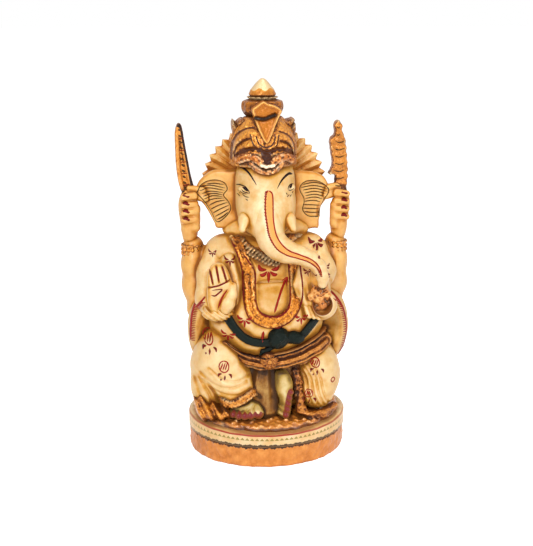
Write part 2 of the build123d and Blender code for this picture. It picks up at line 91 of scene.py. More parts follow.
def egg(p, centre, radii, angles=None):
    """Distance to an ellipsoid: the scaled radius less one, over the length of its slope."""
    d = [p[i] - centre[i] for i in range(3)]
    if angles is not None:
        m = turn(*angles)
        d = [d[0] * m[0, i] + d[1] * m[1, i] + d[2] * m[2, i] for i in range(3)]
    near = np.sqrt(sum((d[i] / radii[i]) ** 2 for i in range(3)))
    slope = np.sqrt(sum((d[i] / radii[i] ** 2) ** 2 for i in range(3))) + 1e-6
    return near * (near - 1) / slope


def rod(p, a, b, ra, rb):
    """Distance to a round rod from a to b, whose radius runs evenly from ra to rb."""
    a, b = np.array(a, float), np.array(b, float)
    ab = b - a
    t = sum((p[i] - a[i]) * ab[i] for i in range(3)) / (ab @ ab)
    t = np.clip(t, 0, 1)
    gap = np.sqrt(sum((p[i] - a[i] - t * ab[i]) ** 2 for i in range(3)))
    return gap - (ra + (rb - ra) * t)


def join(a, b, soft):
    """Union of two fields with a fillet: the lower one, eased where they are nearly equal."""
    h = np.maximum(soft - np.abs(a - b), 0) / soft
    return np.minimum(a, b) - h * h * soft / 4


def joined(fields, soft):
    """Fields joined one after another."""
    fields = iter(fields)
    field = next(fields)
    for other in fields:
        field = join(field, other, soft)
    return field


def meet(a, b, soft=0.3):
    """What both fields share, with an eased edge."""
    return -join(-a, -b, soft)


def cut(a, b, soft=0.3):
    """The first field less the second, with an eased edge."""
    return -join(-a, b, soft)


def limb(p, points, radii, soft=1.5):
    """A run of rods through points, joined softly."""
    field = rod(p, points[0], points[1], radii[0], radii[1])
    for i in range(1, len(points) - 1):
        field = join(field, rod(p, points[i], points[i + 1], radii[i], radii[i + 1]), soft)
    return field


def curve(points, steps=6):
    """A smooth line through its points (Catmull-Rom), as an array of places."""
    points = np.array(points, float)
    if len(points) < 3:
        t = np.linspace(0, 1, steps + 1)[:, None]
        return points[0] * (1 - t) + points[1] * t
    ends = np.vstack([2 * points[0] - points[1], points, 2 * points[-1] - points[-2]])
    t = np.linspace(0, 1, steps, endpoint=False)[:, None]
    runs = []
    for a, b, c, d in zip(ends, ends[1:], ends[2:], ends[3:]):
        runs.append(0.5 * (2 * b + (c - a) * t + (2 * a - 5 * b + 4 * c - d) * t**2
                           + (3 * b - a - 3 * c + d) * t**3))
    return np.vstack(runs + [points[-1:]])


def line_gap(p, points, steps=5):
    """Distance, seen from the front, from a smooth line given as (x, z) points."""
    x, z = p[0], p[2]
    best = np.full(np.broadcast(x, z).shape, 1e3, dtype=np.float32)
    route = curve(points, steps)
    for (ax, az), (bx, bz) in zip(route[:-1], route[1:]):
        dx, dz = bx - ax, bz - az
        t = np.clip(((x - ax) * dx + (z - az) * dz) / (dx * dx + dz * dz + 1e-9), 0, 1)
        best = np.minimum(best, np.hypot(x - ax - t * dx, z - az - t * dz))
    return best


def outline_gap(p, points, steps=5):
    """Signed distance, seen from the front, from a smooth closed outline: negative inside."""
    x, z = p[0], p[2]
    points = list(points)
    route = curve(points[-1:] + points + points[:2], steps)[steps : steps * (len(points) + 1) + 1]
    best = np.full(np.broadcast(x, z).shape, 1e3, dtype=np.float32)
    inside = np.zeros(best.shape, dtype=bool)
    for (ax, az), (bx, bz) in zip(route[:-1], route[1:]):
        dx, dz = bx - ax, bz - az
        t = np.clip(((x - ax) * dx + (z - az) * dz) / (dx * dx + dz * dz + 1e-9), 0, 1)
        best = np.minimum(best, np.hypot(x - ax - t * dx, z - az - t * dz))
        if dz:
            crosses = ((az > z) != (bz > z)) & (x < (z - az) * dx / dz + ax)
            inside = inside ^ crosses
    return np.where(inside, -best, best)


def swell(gap, width):
    """A soft bump that is 1 on a line and dies away over its width."""
    return np.exp(-((gap / width) ** 2))


def groove(p, line, width):
    """A soft bump along a line seen from the front."""
    return swell(line_gap(p, line), width)


def ramp(value, low, high):
    """0 below low, 1 above high, eased between."""
    t = np.clip((value - low) / (high - low), 0, 1)
    return t * t * (3 - 2 * t)


def ripple(p, size, seed=0.0):
    """Uneven hand-cut waviness, from -1 to 1: sines whose phases bend each other."""
    x, y, z = (p[i] / size for i in range(3))
    a = np.sin(1.9 * x + 1.3 * np.sin(1.1 * z + seed) + seed)
    b = np.sin(2.3 * z + 1.7 * np.sin(1.4 * y + 2 * seed) + 1.3 * seed)
    c = np.sin(2.1 * y + 1.5 * np.sin(1.7 * x - seed) + 0.7 * seed)
    return (a * b + b * c + c * a) / 2


def grid_points(low, high, voxel):
    """Open arrays of x, y and z over a box."""
    counts = np.ceil((np.array(high) - low) / voxel).astype(int) + 1
    axes = []
    for i in range(3):
        shape = [1, 1, 1]
        shape[i] = counts[i]
        axes.append((low[i] + voxel * np.arange(counts[i])).astype(np.float32).reshape(shape))
    return axes, counts


def add_mesh(name, points, faces, material, nodes):
    """Makes a piece from points in mm and a list of face arrays, and hands it to the frame."""
    mesh = bpy.data.meshes.new(name)
    points = np.asarray(points, dtype=np.float32) * MM
    mesh.vertices.add(len(points))
    mesh.vertices.foreach_set("co", points.ravel())
    loops = np.concatenate([f.ravel() for f in faces]).astype(np.int32)
    sizes = np.concatenate([np.full(len(f), f.shape[1]) for f in faces])
    mesh.loops.add(len(loops))
    mesh.loops.foreach_set("vertex_index", loops)
    mesh.polygons.add(len(sizes))
    starts = np.concatenate([[0], np.cumsum(sizes)[:-1]]).astype(np.int32)
    mesh.polygons.foreach_set("loop_start", starts)
    mesh.polygons.foreach_set("use_smooth", np.full(len(sizes), True))
    mesh.update(calc_edges=True)
    mesh.validate()
    piece = bpy.data.objects.new(name, mesh)
    bpy.context.scene.collection.objects.link(piece)
    mesh.materials.append(material)
    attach(piece, "root")
    if nodes:
        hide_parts(*nodes)
    return piece


def mark(piece, name, values):
    """Stores one number per point of a piece, for its material to read."""
    store = piece.data.attributes.new(name, "FLOAT", "POINT")
    store.data.foreach_set("value", np.ascontiguousarray(values, dtype=np.float32))


def carve(node, low, high, shape, material, slot, voxel=FINE, paint=None, name=None):
    """Carves the piece that stands for a node out of a block from low to high.

    shape gives, over the whole grid at once, the distance to the skin, negative inside; the
    mesh is the surface where it is nought. paint gives named signed distances, in mm, from
    painted areas, at the piece's own points.
    """
    low, high = np.array(low, float), np.array(high, float)
    p, counts = grid_points(low, high, voxel)
    field = np.array(np.broadcast_to(shape(p), counts), dtype=np.float32)
    for axis in range(3):
        for end in (0, -1):
            face = [slice(None)] * 3
            face[axis] = end
            field[tuple(face)] = np.maximum(field[tuple(face)], 0.05)
    grid = vdb.FloatGrid(background=3.0)
    grid.copyFromArray(field)
    points, triangles, quads = grid.convertToPolygons(isovalue=0.0, adaptivity=0.0)
    points = low + voxel * points
    faces = [f for f in (triangles, quads) if len(f)]
    piece = add_mesh(name or f"{node}_carving", points, faces, material, [node])
    carved.append((piece, low, voxel, field))
    if paint is not None:
        for key, values in paint(points.T).items():
            mark(piece, key, values)
    return piece


def srgb(red, green, blue):
    """A colour as seen on a screen, 0 to 255, as the linear values a shader takes."""
    c = np.array([red, green, blue]) / 255
    linear = np.where(c <= 0.04045, c / 12.92, ((c + 0.055) / 1.055) ** 2.4)
    return (*[float(v) for v in linear], 1.0)


def feed(tree, socket, value):
    """Links an input to an output, or gives it a plain value."""
    if isinstance(value, bpy.types.NodeSocket):
        tree.links.new(value, socket)
    else:
        socket.default_value = value


def add_node(tree, kind, out=0, **values):
    """Adds a shader node, sets its properties and named inputs, and returns one output."""
    node = tree.nodes.new("ShaderNode" + kind)
    for key, value in values.items():
        if hasattr(node, key):
            setattr(node, key, value)
        else:
            feed(tree, node.inputs[key.replace("_", " ")], value)
    return node.outputs[out]


def maths(tree, operation, *values, clamp=False):
    """The output of a Math node."""
    result = add_node(tree, "Math", operation=operation, use_clamp=clamp)
    for socket, value in zip(result.node.inputs, values):
        feed(tree, socket, value)
    return result


def mixed(tree, share, first, second):
    """Two colours mixed: the first where share is 0, the second where it is 1."""
    result = add_node(tree, "Mix", out=2, data_type="RGBA")
    for number, value in ((0, share), (6, first), (7, second)):
        feed(tree, result.node.inputs[number], value)
    return result


def eased(tree, value, low, high):
    """0 where value is at low, 1 at high, eased between."""
    return add_node(tree, "MapRange", interpolation_type="SMOOTHSTEP", Value=value, From_Min=low,
                    From_Max=high)


def new_group(name, inputs, outputs):
    """A shader node group with named sockets, its given values and its output node."""
    group = bpy.data.node_groups.new(name, "ShaderNodeTree")
    for way, sockets in (("INPUT", inputs), ("OUTPUT", outputs)):
        for socket, kind in sockets:
            group.interface.new_socket(socket, in_out=way, socket_type="NodeSocket" + kind)
    return group, group.nodes.new("NodeGroupInput").outputs, group.nodes.new("NodeGroupOutput").inputs


def antique_group():
    """Brown stain and painted shade in the hollows of the carving, wiped off what stands proud.

    The stored stain of each point, made uneven by noise, mixes the paint towards a warm wash and
    then a dark one, as brown stain and as painted shade; what is stored as lift brightens the
    edges, as wear and as a painted highlight.
    """
    inputs = [(paint, "Color") for paint in ("Paint", "Wash", "Dark", "Worn")]
    inputs += [(amount, "Float") for amount in ("Stain", "Wear", "Mottle")]
    group, given, made = new_group("antique", inputs, [("Color", "Color"), ("Mask", "Float")])
    place = add_node(group, "TexCoord", out="Object")
    cloud = add_node(group, "TexNoise", Vector=place, Scale=260.0, Detail=4.0, Roughness=0.6)
    patch = add_node(group, "TexNoise", Vector=place, Scale=1400.0, Detail=3.0, Roughness=0.7)
    stain = add_node(group, "Attribute", out="Fac", attribute_name="stain")
    lift = add_node(group, "Attribute", out="Fac", attribute_name="lift")
    uneven = maths(group, "MULTIPLY_ADD", cloud, 0.7, -0.35)
    speck = maths(group, "MULTIPLY", maths(group, "SUBTRACT", patch, 0.5), given["Mottle"])
    total = maths(group, "MULTIPLY_ADD", stain, given["Stain"], uneven)
    soiled = maths(group, "ADD", total, speck)
    dark = eased(group, soiled, 0.42, 1.0)
    colour = mixed(group, eased(group, soiled, -0.05, 0.62), given["Paint"], given["Wash"])
    colour = mixed(group, dark, colour, given["Dark"])
    # Edges that stand out are brightened: wear, and a painted highlight.
    worn = maths(group, "MULTIPLY", lift, given["Wear"], clamp=True)
    feed(group, made["Color"], mixed(group, worn, colour, given["Worn"]))
    feed(group, made["Mask"], dark)
    return group


def tooled_group():
    """Fine unevenness of carved and brushed surfaces: two noises added, as a height."""
    inputs = [(name, "Float") for name in ("Coarse", "Fine", "Size")]
    group, given, made = new_group("tooled", inputs, [("Height", "Float")])
    place = add_node(group, "TexCoord", out="Object")
    coarse = add_node(group, "TexNoise", Vector=place, Scale=given["Size"], Detail=2.0)
    fine = add_node(group, "TexNoise", Vector=place, Scale=2600.0, Detail=2.0)
    low = maths(group, "MULTIPLY", coarse, given["Coarse"])
    feed(group, made["Height"], maths(group, "MULTIPLY_ADD", fine, given["Fine"], low))
    return group


EDGE = 0.1  # half the soft edge of a painted area, in mm
antique = antique_group()
tooled = tooled_group()


def painted(name, paint, wash, dark, worn, stain=1.0, wear=0.3, mottle=0.2, areas=(),
            roughness=0.36, coat=0.08, glow=0.0, metallic=0.0, tint=0.7, shine=0.28,
            bump=(0.5, 0.15, 500.0), depth=0.00012):
    """Antiqued paint, with areas of other colours where a stored distance is below nought.

    Colours are screen values, 0 to 255. stain, wear and mottle scale the brown stain and painted
    shade in the hollows, the wear and painted highlight on edges, and the speckle; glow is light
    under the skin; tint is how far the wash shows as painted shade where the surface turns away;
    bump and depth set the tooled unevenness.
    """
    material = bpy.data.materials.new(name)
    material.use_nodes = True
    tree = material.node_tree
    colour = add_node(tree, "Group", out="Color", node_tree=antique, Paint=srgb(*paint), Wash=srgb(*wash),
                      Dark=srgb(*dark), Worn=srgb(*worn), Stain=stain, Wear=wear, Mottle=mottle)
    mask = colour.node.outputs["Mask"]
    for area, area_paint in areas:
        stored = add_node(tree, "Attribute", out="Fac", attribute_name=area)
        colour = mixed(tree, eased(tree, stored, EDGE, -EDGE), colour, srgb(*area_paint))
    # Painted shade: the wash colour mixed in where the surface turns away from the view.
    if tint:
        turned = add_node(tree, "LayerWeight", out="Facing", Blend=0.4)
        colour = mixed(tree, maths(tree, "MULTIPLY", turned, tint), colour, srgb(*wash))
    rough = add_node(tree, "MapRange", Value=mask, To_Min=roughness, To_Max=min(roughness + 0.3, 1.0))
    height = add_node(tree, "Group", node_tree=tooled, Coarse=bump[0], Fine=bump[1], Size=bump[2])
    relief = add_node(tree, "Bump", Height=height, Strength=0.6, Distance=depth)
    settings = {
        "Base Color": colour, "Roughness": rough, "Normal": relief, "Metallic": metallic,
        "Coat Weight": coat, "Coat Roughness": 0.18, "Specular IOR Level": shine,
        "Subsurface Weight": glow, "Subsurface Radius": (1.0, 0.45, 0.2), "Subsurface Scale": 0.0022,
    }
    for key, value in settings.items():
        feed(tree, tree.nodes["Principled BSDF"].inputs[key], value)
    return material


CREAM = (240, 213, 162)
OCHRE = (216, 154, 54)
UMBER = (146, 86, 20)
PALE = (250, 234, 196)
warm = painted("warm_cream_paint", (240, 190, 112), (208, 134, 40), UMBER, (252, 226, 176), stain=1.0,
               wear=0.35, mottle=0.14, glow=0.25)
cream = painted("cream_paint", CREAM, OCHRE, UMBER, PALE, stain=1.0, wear=0.35, mottle=0.12, glow=0.25)
GOLD = (232, 156, 58)
GOLD_WASH = (166, 92, 16)
GOLD_DARK = (56, 24, 4)
GILT = (255, 228, 168)
gold = painted("gold_paint", GOLD, GOLD_WASH, GOLD_DARK, GILT, stain=1.35, wear=0.6, mottle=1.8,
               roughness=0.3, coat=0.1, metallic=0.3, bump=(1.0, 0.4, 900.0), depth=0.0003)

belly_middle, belly_half = middle("belly"), half("belly")
chest_low, chest_high = node_box("chest")
CHEST = np.array([-0.3, (chest_low[1] + chest_high[1]) / 2, chest_high[2] - 15.0])
CHEST_HALF = np.array([(chest_high[0] - chest_low[0]) / 2, (chest_high[1] - chest_low[1]) / 2, 15.0])
WAIST_Z = 72.0

# The open front of the shirt, bare inside the scarf, as (x, z)
BARE = [(-7.6, 84), (-5.2, 78), (-5.6, 70), (-5.8, 64.5), (-4.0, 61.2), (-0.4, 60.2), (4.2, 61.0),
        (6.8, 64), (7.6, 70), (7.0, 76), (6.4, 82), (0, 86)]


def torso_skin(p):
    """Belly and chest run into each other; the shirt stands off the bare front."""
    body = join(egg(p, belly_middle, belly_half * 0.99), egg(p, CHEST, CHEST_HALF), 5.0)
    shoulders = join(egg(p, (-17.0, 2.5, 82.0), (7.4, 8.0, 6.4)),
                     egg(p, (17.0, 2.5, 82.0), (7.4, 8.0, 6.4)), 1.0)
    body = join(body, shoulders, 4.0)
    front = ramp(-p[1], 4.0, 9.0)
    bare = ramp(-outline_gap(p, BARE), -0.5, 0.7)
    crease = groove(p, [(-8, 70.6), (-3, 72.4), (3, 72.6), (9, 71.4)], 0.9)
    return body + front * bare * (0.6 + 0.7 * crease)


def shirt_folds(p):
    """Soft folds of the shirt where it is drawn in above the waist and under the arms."""
    folds = groove(p, [(-16.5, 66), (-13.5, 58), (-9, 53)], 1.0)
    folds = folds + groove(p, [(-13.2, 82), (-12.6, 74), (-13.4, 66)], 1.1)
    folds = folds + groove(p, [(-22, 52), (-15, 46), (-8, 44.4)], 1.2)
    folds = folds + groove(p, [(8, 46), (15, 49), (22, 54)], 1.2)
    return folds * ramp(-p[1], 3.0, 8.0)


carve(
    "belly", *around("belly", 2.6, 2.6),
    lambda p: meet(torso_skin(p) + 0.45 * shirt_folds(p) + 0.08 * ripple(p, 2.2), p[2] - WAIST_Z, 0.1),
    cream, "cream_paint", voxel=PLAIN,
)
carve(
    "chest", (-27.5, -15, 64), (27.5, 17.5, 94.5),
    lambda p: meet(torso_skin(p) + 0.45 * shirt_folds(p) + 0.08 * ripple(p, 2.2), WAIST_Z - 0.3 - p[2],
                   0.1),
    cream, "cream_paint", voxel=PLAIN,
)
neck_middle, neck_half = middle("neck"), half("neck")
carve(
    "neck", neck_middle - neck_half - 3, neck_middle + neck_half + 4,
    lambda p: join(egg(p, neck_middle - (0, 0, 1), neck_half + (0.5, 0, 1)), egg(p, (0, 4, 97), (10, 7, 6)),
                   3) + 0.1 * ripple(p, 2.5),
    cream, "cream_paint", voxel=PLAIN,
)

# ---- Head, ears, tusks and trunk -----------------------------------------------------------
# Carved with the body and painted cream: a tall square-cheeked face, flat carved ears with
# hatched hollows, two short tusks, and a trunk that swings to the figure's left.

head_middle = np.array([middle("head")[0], middle("head")[1], node_box("head")[1][2] - 15.5])
TRUNK_LINE = [(-1.0, -5.4, 112), (-1.4, -8.4, 106.5), (-1.8, -12.0, 100.5), (-1.4, -15.0, 95),
              (-0.3, -17.6, 90.6), (2.2, -19.2, 87.8), (5.6, -20.0, 86.2), (10.6, -20.8, 85.0),
              (14.6, -21.0, 83.2), (17.6, -21.0, 80.4), (19.3, -20.8, 76.6), (19.2, -20.6, 73.4)]
TRUNK_RADII = [5.4, 6.2, 6.1, 5.3, 4.7, 4.3, 3.8, 3.1, 2.7, 2.35, 2.0, 1.8]


def trunk_skin(p):
    """A tapering run of rods, with faint rings cut across its upper side."""
    rings = np.sin(p[2] * 2.4 + 0.35 * p[0]) * ramp(p[0], 8, 14)
    return limb(p, TRUNK_LINE, TRUNK_RADII, 2.5) + 0.06 * rings


def head_skin(p):
    """A tall rounded block: a squared ellipse across, narrowing below the cheeks."""
    d = [p[i] - head_middle[i] for i in range(3)]
    narrow = 1 - 0.10 * ramp(-d[2], 2, 14)
    x = np.abs(d[0] / (11.6 * narrow)) ** 3.2
    y = np.abs(d[1] / 11.2) ** 2.3
    z = np.abs(d[2] / 15.6) ** 4.0
    block = (x + y + z + 1e-6) ** (1 / 2.6)
    face = (block - 1) * 10.0
    cheeks = join(egg(p, (-7.6, -8.0, 101), (4.0, 5.0, 7.6)), egg(p, (5.8, -8.0, 101), (4.0, 5.0, 7.6)),
                  0.5)
    face = join(face, cheeks, 3.0)
    sockets = groove(p, [(-12, 107.4), (-8.6, 106.6)], 1.9) + groove(p, [(7.0, 106.6), (10, 107.4)], 1.9)
    brows = (
        groove(p, [(-12, 114.5), (-8.6, 114), (-5.6, 110.2)], 1.2)
        + groove(p, [(2.6, 109.6), (6.2, 113.2), (9.6, 113.8)], 1.2)
    )
    lids = egg(p, (-9.8, -10.2, 109.2), (2.2, 1.6, 1.3)), egg(p, (8.1, -10.2, 109.4), (1.7, 1.6, 1.3))
    front = ramp(-p[1], 4, 8)
    face = face + front * (0.3 * sockets - 0.25 * brows)
    return join(face, join(*lids, 0.1), 0.6)


STRIPE_LEFT = [(-1.3, 109.4), (-2.2, 108.1), (-2.7, 102.6), (-2.2, 96.8), (-1.4, 92.6), (1.2, 88.4),
               (5.0, 86.0), (8.7, 84.8), (13.0, 83.2), (16.4, 80.6), (18.2, 77.2)]
STRIPE_RIGHT = [(-1.1, 109.4), (0.3, 107.8), (0.3, 102.5), (0.3, 98.1), (1.1, 93.4), (3.0, 90.1),
                (6.0, 87.6), (10.5, 85.8), (14.6, 83.8), (17.2, 81.0), (18.5, 77.4)]
STRIPE = STRIPE_LEFT + STRIPE_RIGHT[:0:-1]
trunk_paint = painted("trunk_paint", (244, 218, 170), OCHRE, UMBER, PALE, stain=0.75, wear=0.35,
                      mottle=0.12, glow=0.25, areas=[("stripe", (236, 164, 84))])
carve(
    "head", (-16, -18, 87), (14, 13, 124),
    lambda p: cut(join(head_skin(p), trunk_skin(p) + 0.4, 7.0), rod(p, (-1, -30, 80), (-1, -30, 60), 1, 1)),
    trunk_paint, "cream_paint", voxel=0.28, paint=lambda p: {"stripe": outline_gap(p, STRIPE)},
)
carve(
    "trunk", (-11, -27.5, 68), (25, -2, 118),
    lambda p: trunk_skin(p) + 0.05 * ripple(p, 1.8), trunk_paint, "cream_paint", voxel=0.3,
    paint=lambda p: {"stripe": outline_gap(p, STRIPE)},
)

RIGHT_EAR = [(-9, 112.6), (-14.9, 114.6), (-20.3, 114.6), (-23.8, 112.6), (-26.4, 109.6), (-27.6, 106),
             (-26.6, 103), (-24.4, 100.6), (-22.6, 97.6), (-20.6, 93.6), (-19.9, 91.6), (-17.2, 91.4),
             (-9, 91.8)]
RIGHT_FIELD = [(-27.4, 105.6), (-25.6, 108.8), (-22.6, 110.6), (-19.1, 110.9), (-16.4, 109.7),
               (-15.6, 107.3), (-17.0, 105.0), (-15.1, 102.4), (-14.3, 99.6), (-16.1, 96.6), (-19.6, 94.3),
               (-22.0, 98.6), (-24.6, 102.6)]
LEFT_EAR = [(7, 112.8), (12, 114), (16.1, 113.6), (19.8, 112.9), (23.2, 111.1), (25.2, 107.8),
            (25.4, 104.2), (23.6, 101), (21.9, 98.9), (21.5, 94), (21.3, 90.4), (18.9, 90.4), (7, 90.8)]
LEFT_FIELD = [(21.4, 95.2), (16.8, 95.8), (14.4, 98.4), (14.9, 101.4), (14.7, 103.4), (13.3, 106.0),
              (13.5, 108.3), (15.8, 109.9), (19.5, 109.9), (23.0, 108.3), (25.2, 105.6), (23.4, 102.4),
              (21.7, 99)]


def ear_skin(p, rim, hollow):
    """A plate with a rounded rim, swept back towards its edge, hollowed where it is hatched."""
    swept = 1.0 + 0.012 * (np.abs(p[0]) - 9) ** 2
    slab = np.abs(p[1] - swept) - 1.9
    plate = meet(outline_gap(p, rim), slab, 1.6)
    inner = outline_gap(p, hollow)
    dish = ramp(-inner, 0.0, 0.7) * ramp(-(p[1] - swept), 0, 1)
    roll = swell(inner, 0.9) * ramp(-(p[1] - swept), 0, 1)
    return plate + 0.55 * dish - 0.3 * roll


for name, rim, hollow, side in (("right", RIGHT_EAR, RIGHT_FIELD, -1), ("left", LEFT_EAR, LEFT_FIELD, 1)):
    low, high = sorted((side * 7.0, side * 30.5))
    carve(
        f"{name}_ear", (low, -4, 87.5), (high, 8, 118),
        lambda p: ear_skin(p, rim, hollow), warm, "cream_paint", voxel=0.3,
    )
    tip = (-11.1, -15.6, 94.9) if side < 0 else (8.2, -15.6, 94.4)
    root = (-8.4, -10.8, 100.6) if side < 0 else (5.4, -10.8, 100.4)
    bulge = ((root[0] + tip[0]) / 2 + 0.2 * side, (root[1] + tip[1]) / 2 - 0.5, (root[2] + tip[2]) / 2)
    carve(
        f"{name}_tusk", np.minimum(root, tip) - 4.5, np.maximum(root, tip) + 4.5,
        lambda p: limb(p, [root, bulge, tip], [2.3, 2.5, 1.5], 1.0), cream, "cream_paint", voxel=0.25,
    )
    carve(
        f"{name}_ear_bridge", (min(side * 23, side * 32), -1, 98), (max(side * 23, side * 32), 11, 111),
        lambda p: join(
            rod(p, (side * 24, 2.6, 103.6), (side * 30, 5, 104.6), 1.9, 1.9),
            rod(p, (side * 25, 2.6, 106.6), (side * 30, 5, 107), 1.5, 1.4), 1.2,
        ),
        warm, "cream_paint", name=f"{name}_ear_web",
    )

# ---- Crown and halo ------------------------------------------------------------------------
# A tall tiered crown cut from the same block, gilded and rubbed with brown: an oval dome with
# raised arches, a pointed leaf in front, scrolls, a flattened bulb and a bud. The halo is a
# toothed fan behind it.

CROWN_X = middle("crown_dome")[0]
CROWN_Y = middle("crown_dome")[1]
dome_low, dome_high = node_box("crown_dome")
brim_low, brim_high = node_box("crown_brim")
DOME_HEIGHTS = [brim_low[2], brim_high[2], 126.5, 131.0, dome_high[2]]
DOME_ACROSS = [12.9, 12.9, 12.6, 11.2, 7.4]
ARCH_LINES = [
    [(-14.2, 120.0), (-14.0, 124.6), (-13.2, 127.6), (-11.4, 130.2), (-8.6, 132.0), (-5.8, 132.4)],
    [(-13.4, 122.4), (-12.4, 125.2), (-10.2, 127.4), (-7.4, 128.7)],
    [(3.4, 131.0), (6.2, 129.9), (8.7, 127.6), (9.9, 124.4), (10.2, 120.0)],
    [(3.6, 127.6), (6.2, 126.7), (8.2, 124.8), (9.0, 122.4)],
]
ARCHES = [
    [(-13.8, 121.2), (-13.2, 125.4), (-11.2, 128.4), (-8.0, 130.4), (-5.6, 130.8)],
    [(2.8, 129.5), (6.0, 128.5), (8.6, 126.0), (9.6, 121.2)],
    [(-12.2, 121.4), (-10.4, 124.2), (-7.6, 126.2)], [(3.0, 125.6), (6.0, 124.4), (8.0, 121.4)],
]
CROWN_BAND = [(-12.6, 121.4), (-9.8, 124.0), (-5.6, 124.8), (-1.6, 123.6), (2.6, 124.6), (6.6, 123.8),
              (9.2, 121.4)]
CREST_CUP = [(-5.4, 129.4), (-4.6, 127.0), (-2.8, 125.6), (-0.6, 125.6), (1.2, 127.0), (1.8, 129.4)]
CREST_FRAME = [(-7.6, 130.0), (-6.6, 126.6), (-4.1, 124.6), (-0.6, 124.4), (2.2, 126.2), (3.2, 129.8)]


def crown_skin(p):
    """An oval dome whose half width follows a table of heights, with arches raised in front."""
    across = np.interp(p[2], DOME_HEIGHTS, DOME_ACROSS)
    dx, dy = p[0] - CROWN_X, (p[1] - CROWN_Y) * 1.08
    dome = (np.hypot(dx, dy) - across) * 0.85
    front = ramp(-(p[1] - CROWN_Y), 1.0, 5.0)
    raised = sum(groove(p, line, 1.1) for line in ARCHES)
    grooves = sum(groove(p, line, 0.4) for line in ARCH_LINES)
    raised = raised + groove(p, CREST_FRAME, 0.8)
    cutin = groove(p, CROWN_BAND, 0.9)
    around = np.arctan2(dx, -dy)
    ribs = np.cos(around * 26) * (1 - front)
    return (
        dome + front * (0.5 * np.minimum(grooves, 1) - 0.6 * np.minimum(raised, 1) + 0.9 * cutin)
        + 0.25 * ribs + 0.2 * ripple(p, 0.9)
    )


def crown_lines(p):
    """Dark lines brushed beside the arches, and painted shade in the hollow over and between the brow
    lobes.
    """
    lines = np.minimum.reduce([line_gap(p, line) - 0.3 for line in (*ARCH_LINES, CREST_FRAME, CREST_CUP)])
    # Painted shade: the recess over the brow lobes and the gap between them are painted dark.
    hollow = line_gap(p, CROWN_BAND) - 0.9 + 0.5 * np.sin(3.0 * p[0]) * np.sin(2.7 * p[2])
    hollow = np.minimum(hollow, line_gap(p, [(-1.8, 123.0), (-1.4, 119.5)]) - 1.9)
    return {"dark_lines": np.where(p[1] < CROWN_Y, np.minimum(lines, hollow), 2.0)}


crown_paint = painted("crown_paint", (236, 162, 64), GOLD_WASH, GOLD_DARK, GILT, stain=1.0, wear=0.8,
                      mottle=2.2, areas=[("dark_lines", (58, 22, 6))], roughness=0.3, coat=0.1,
                      metallic=0.3, bump=(1.0, 0.5, 900.0), depth=0.0004)


def band_gap(value, low, high):
    """How far a value lies outside a range: negative inside."""
    return np.maximum(low - value, value - high)


for node, low, high in (
    ("crown_brim", brim_low[2], brim_high[2]), ("crown_dome", dome_low[2], dome_high[2]),
):
    carve(
        node, (CROWN_X - 15.5, CROWN_Y - 14.6, low - 1.2), (CROWN_X + 15.5, CROWN_Y + 14.6, high + 1.2),
        lambda p: meet(crown_skin(p), band_gap(p[2], low - 0.1, high + 0.2), 0.5), crown_paint,
        "gilded_paint", voxel=0.28,
        paint=crown_lines,
    )
bulb_middle, bulb_half = middle("crown_bulb"), half("crown_bulb")


def bulb_skin(p):
    """A flattened onion with hammered gadroons between a lower and an upper lip."""
    d = [p[i] - bulb_middle[i] for i in range(3)]
    height = d[2] / bulb_half[2]
    across = 7.9 - 1.5 * np.abs(height - 0.05) ** 2.5
    across = across - 2.1 * swell(height - 0.78, 0.13) + 0.1 * swell(height - 0.95, 0.1)
    round_ = np.hypot(d[0], d[1] * 1.1)
    gadroons = np.cos(12 * np.arctan2(d[0], -d[1])) * swell(height, 0.6)
    return (
        meet((round_ - across) * 0.8 - 0.22 * gadroons, np.abs(d[2]) - bulb_half[2] - 0.1, 1.2)
        + 0.14 * ripple(p, 0.8)
    )


bulb_paint = painted("bulb_paint", (196, 120, 34), (132, 70, 8), GOLD_DARK, GILT, stain=1.1, wear=0.6,
                     mottle=1.6, roughness=0.3, metallic=0.3, bump=(1.0, 0.4, 900.0), depth=0.0003)
carve("crown_bulb", bulb_middle - bulb_half - 1.5, bulb_middle + bulb_half + 1.5, bulb_skin, bulb_paint,
      "gilded_paint", voxel=0.25)
tip_low, tip_high = node_box("crown_tip")
TIP_X = middle("crown_tip")[0]


def tip_skin(p):
    """A blunt bud: wide at its foot, drawn in with a slight swelling to a rounded point."""
    rise = (p[2] - tip_low[2]) / (tip_high[2] - tip_low[2])
    across = np.interp(rise, [0, 0.12, 0.35, 0.6, 0.8, 0.93, 1.0], [4.4, 5.35, 4.7, 3.3, 2.1, 1.2, 0.2])
    return (
        meet((np.hypot(p[0] - TIP_X, p[1] * 1.05) - across) * 0.75,
             band_gap(p[2], tip_low[2] - 0.2, tip_high[2]), 0.5)
        + 0.08 * ripple(p, 1.3)
    )


bud = painted("bud_paint", GOLD, GOLD_WASH, GOLD_DARK, GILT, stain=1.0, wear=0.6, mottle=0.5,
              areas=[("cream_tip", (238, 212, 158))], metallic=0.2, bump=(0.8, 0.3, 700.0), depth=0.0002)
carve("crown_tip", (TIP_X - 7, -7, tip_low[2] - 1.5), (TIP_X + 7, 7, tip_high[2] + 1.5), tip_skin, bud,
      "gilded_paint", voxel=0.25, paint=lambda p: {"cream_tip": 146.0 + 0.5 * np.sin(p[0] * 1.5) - p[2]})

CREST = [(-2.4, 142.2), (-5.0, 140.5), (-6.8, 139.2), (-6.3, 137.2), (-5.2, 133.6), (-3.6, 129.6),
         (-1.5, 126.6), (0.5, 129.8), (2.5, 134.4), (4.2, 137.6), (4.5, 138.9), (2.0, 140.6), (-0.7, 141.3)]
CREST_SLOT = [(-5.2, 135.9), (-2.3, 135.5), (0.0, 136.2), (2.0, 137.0)]


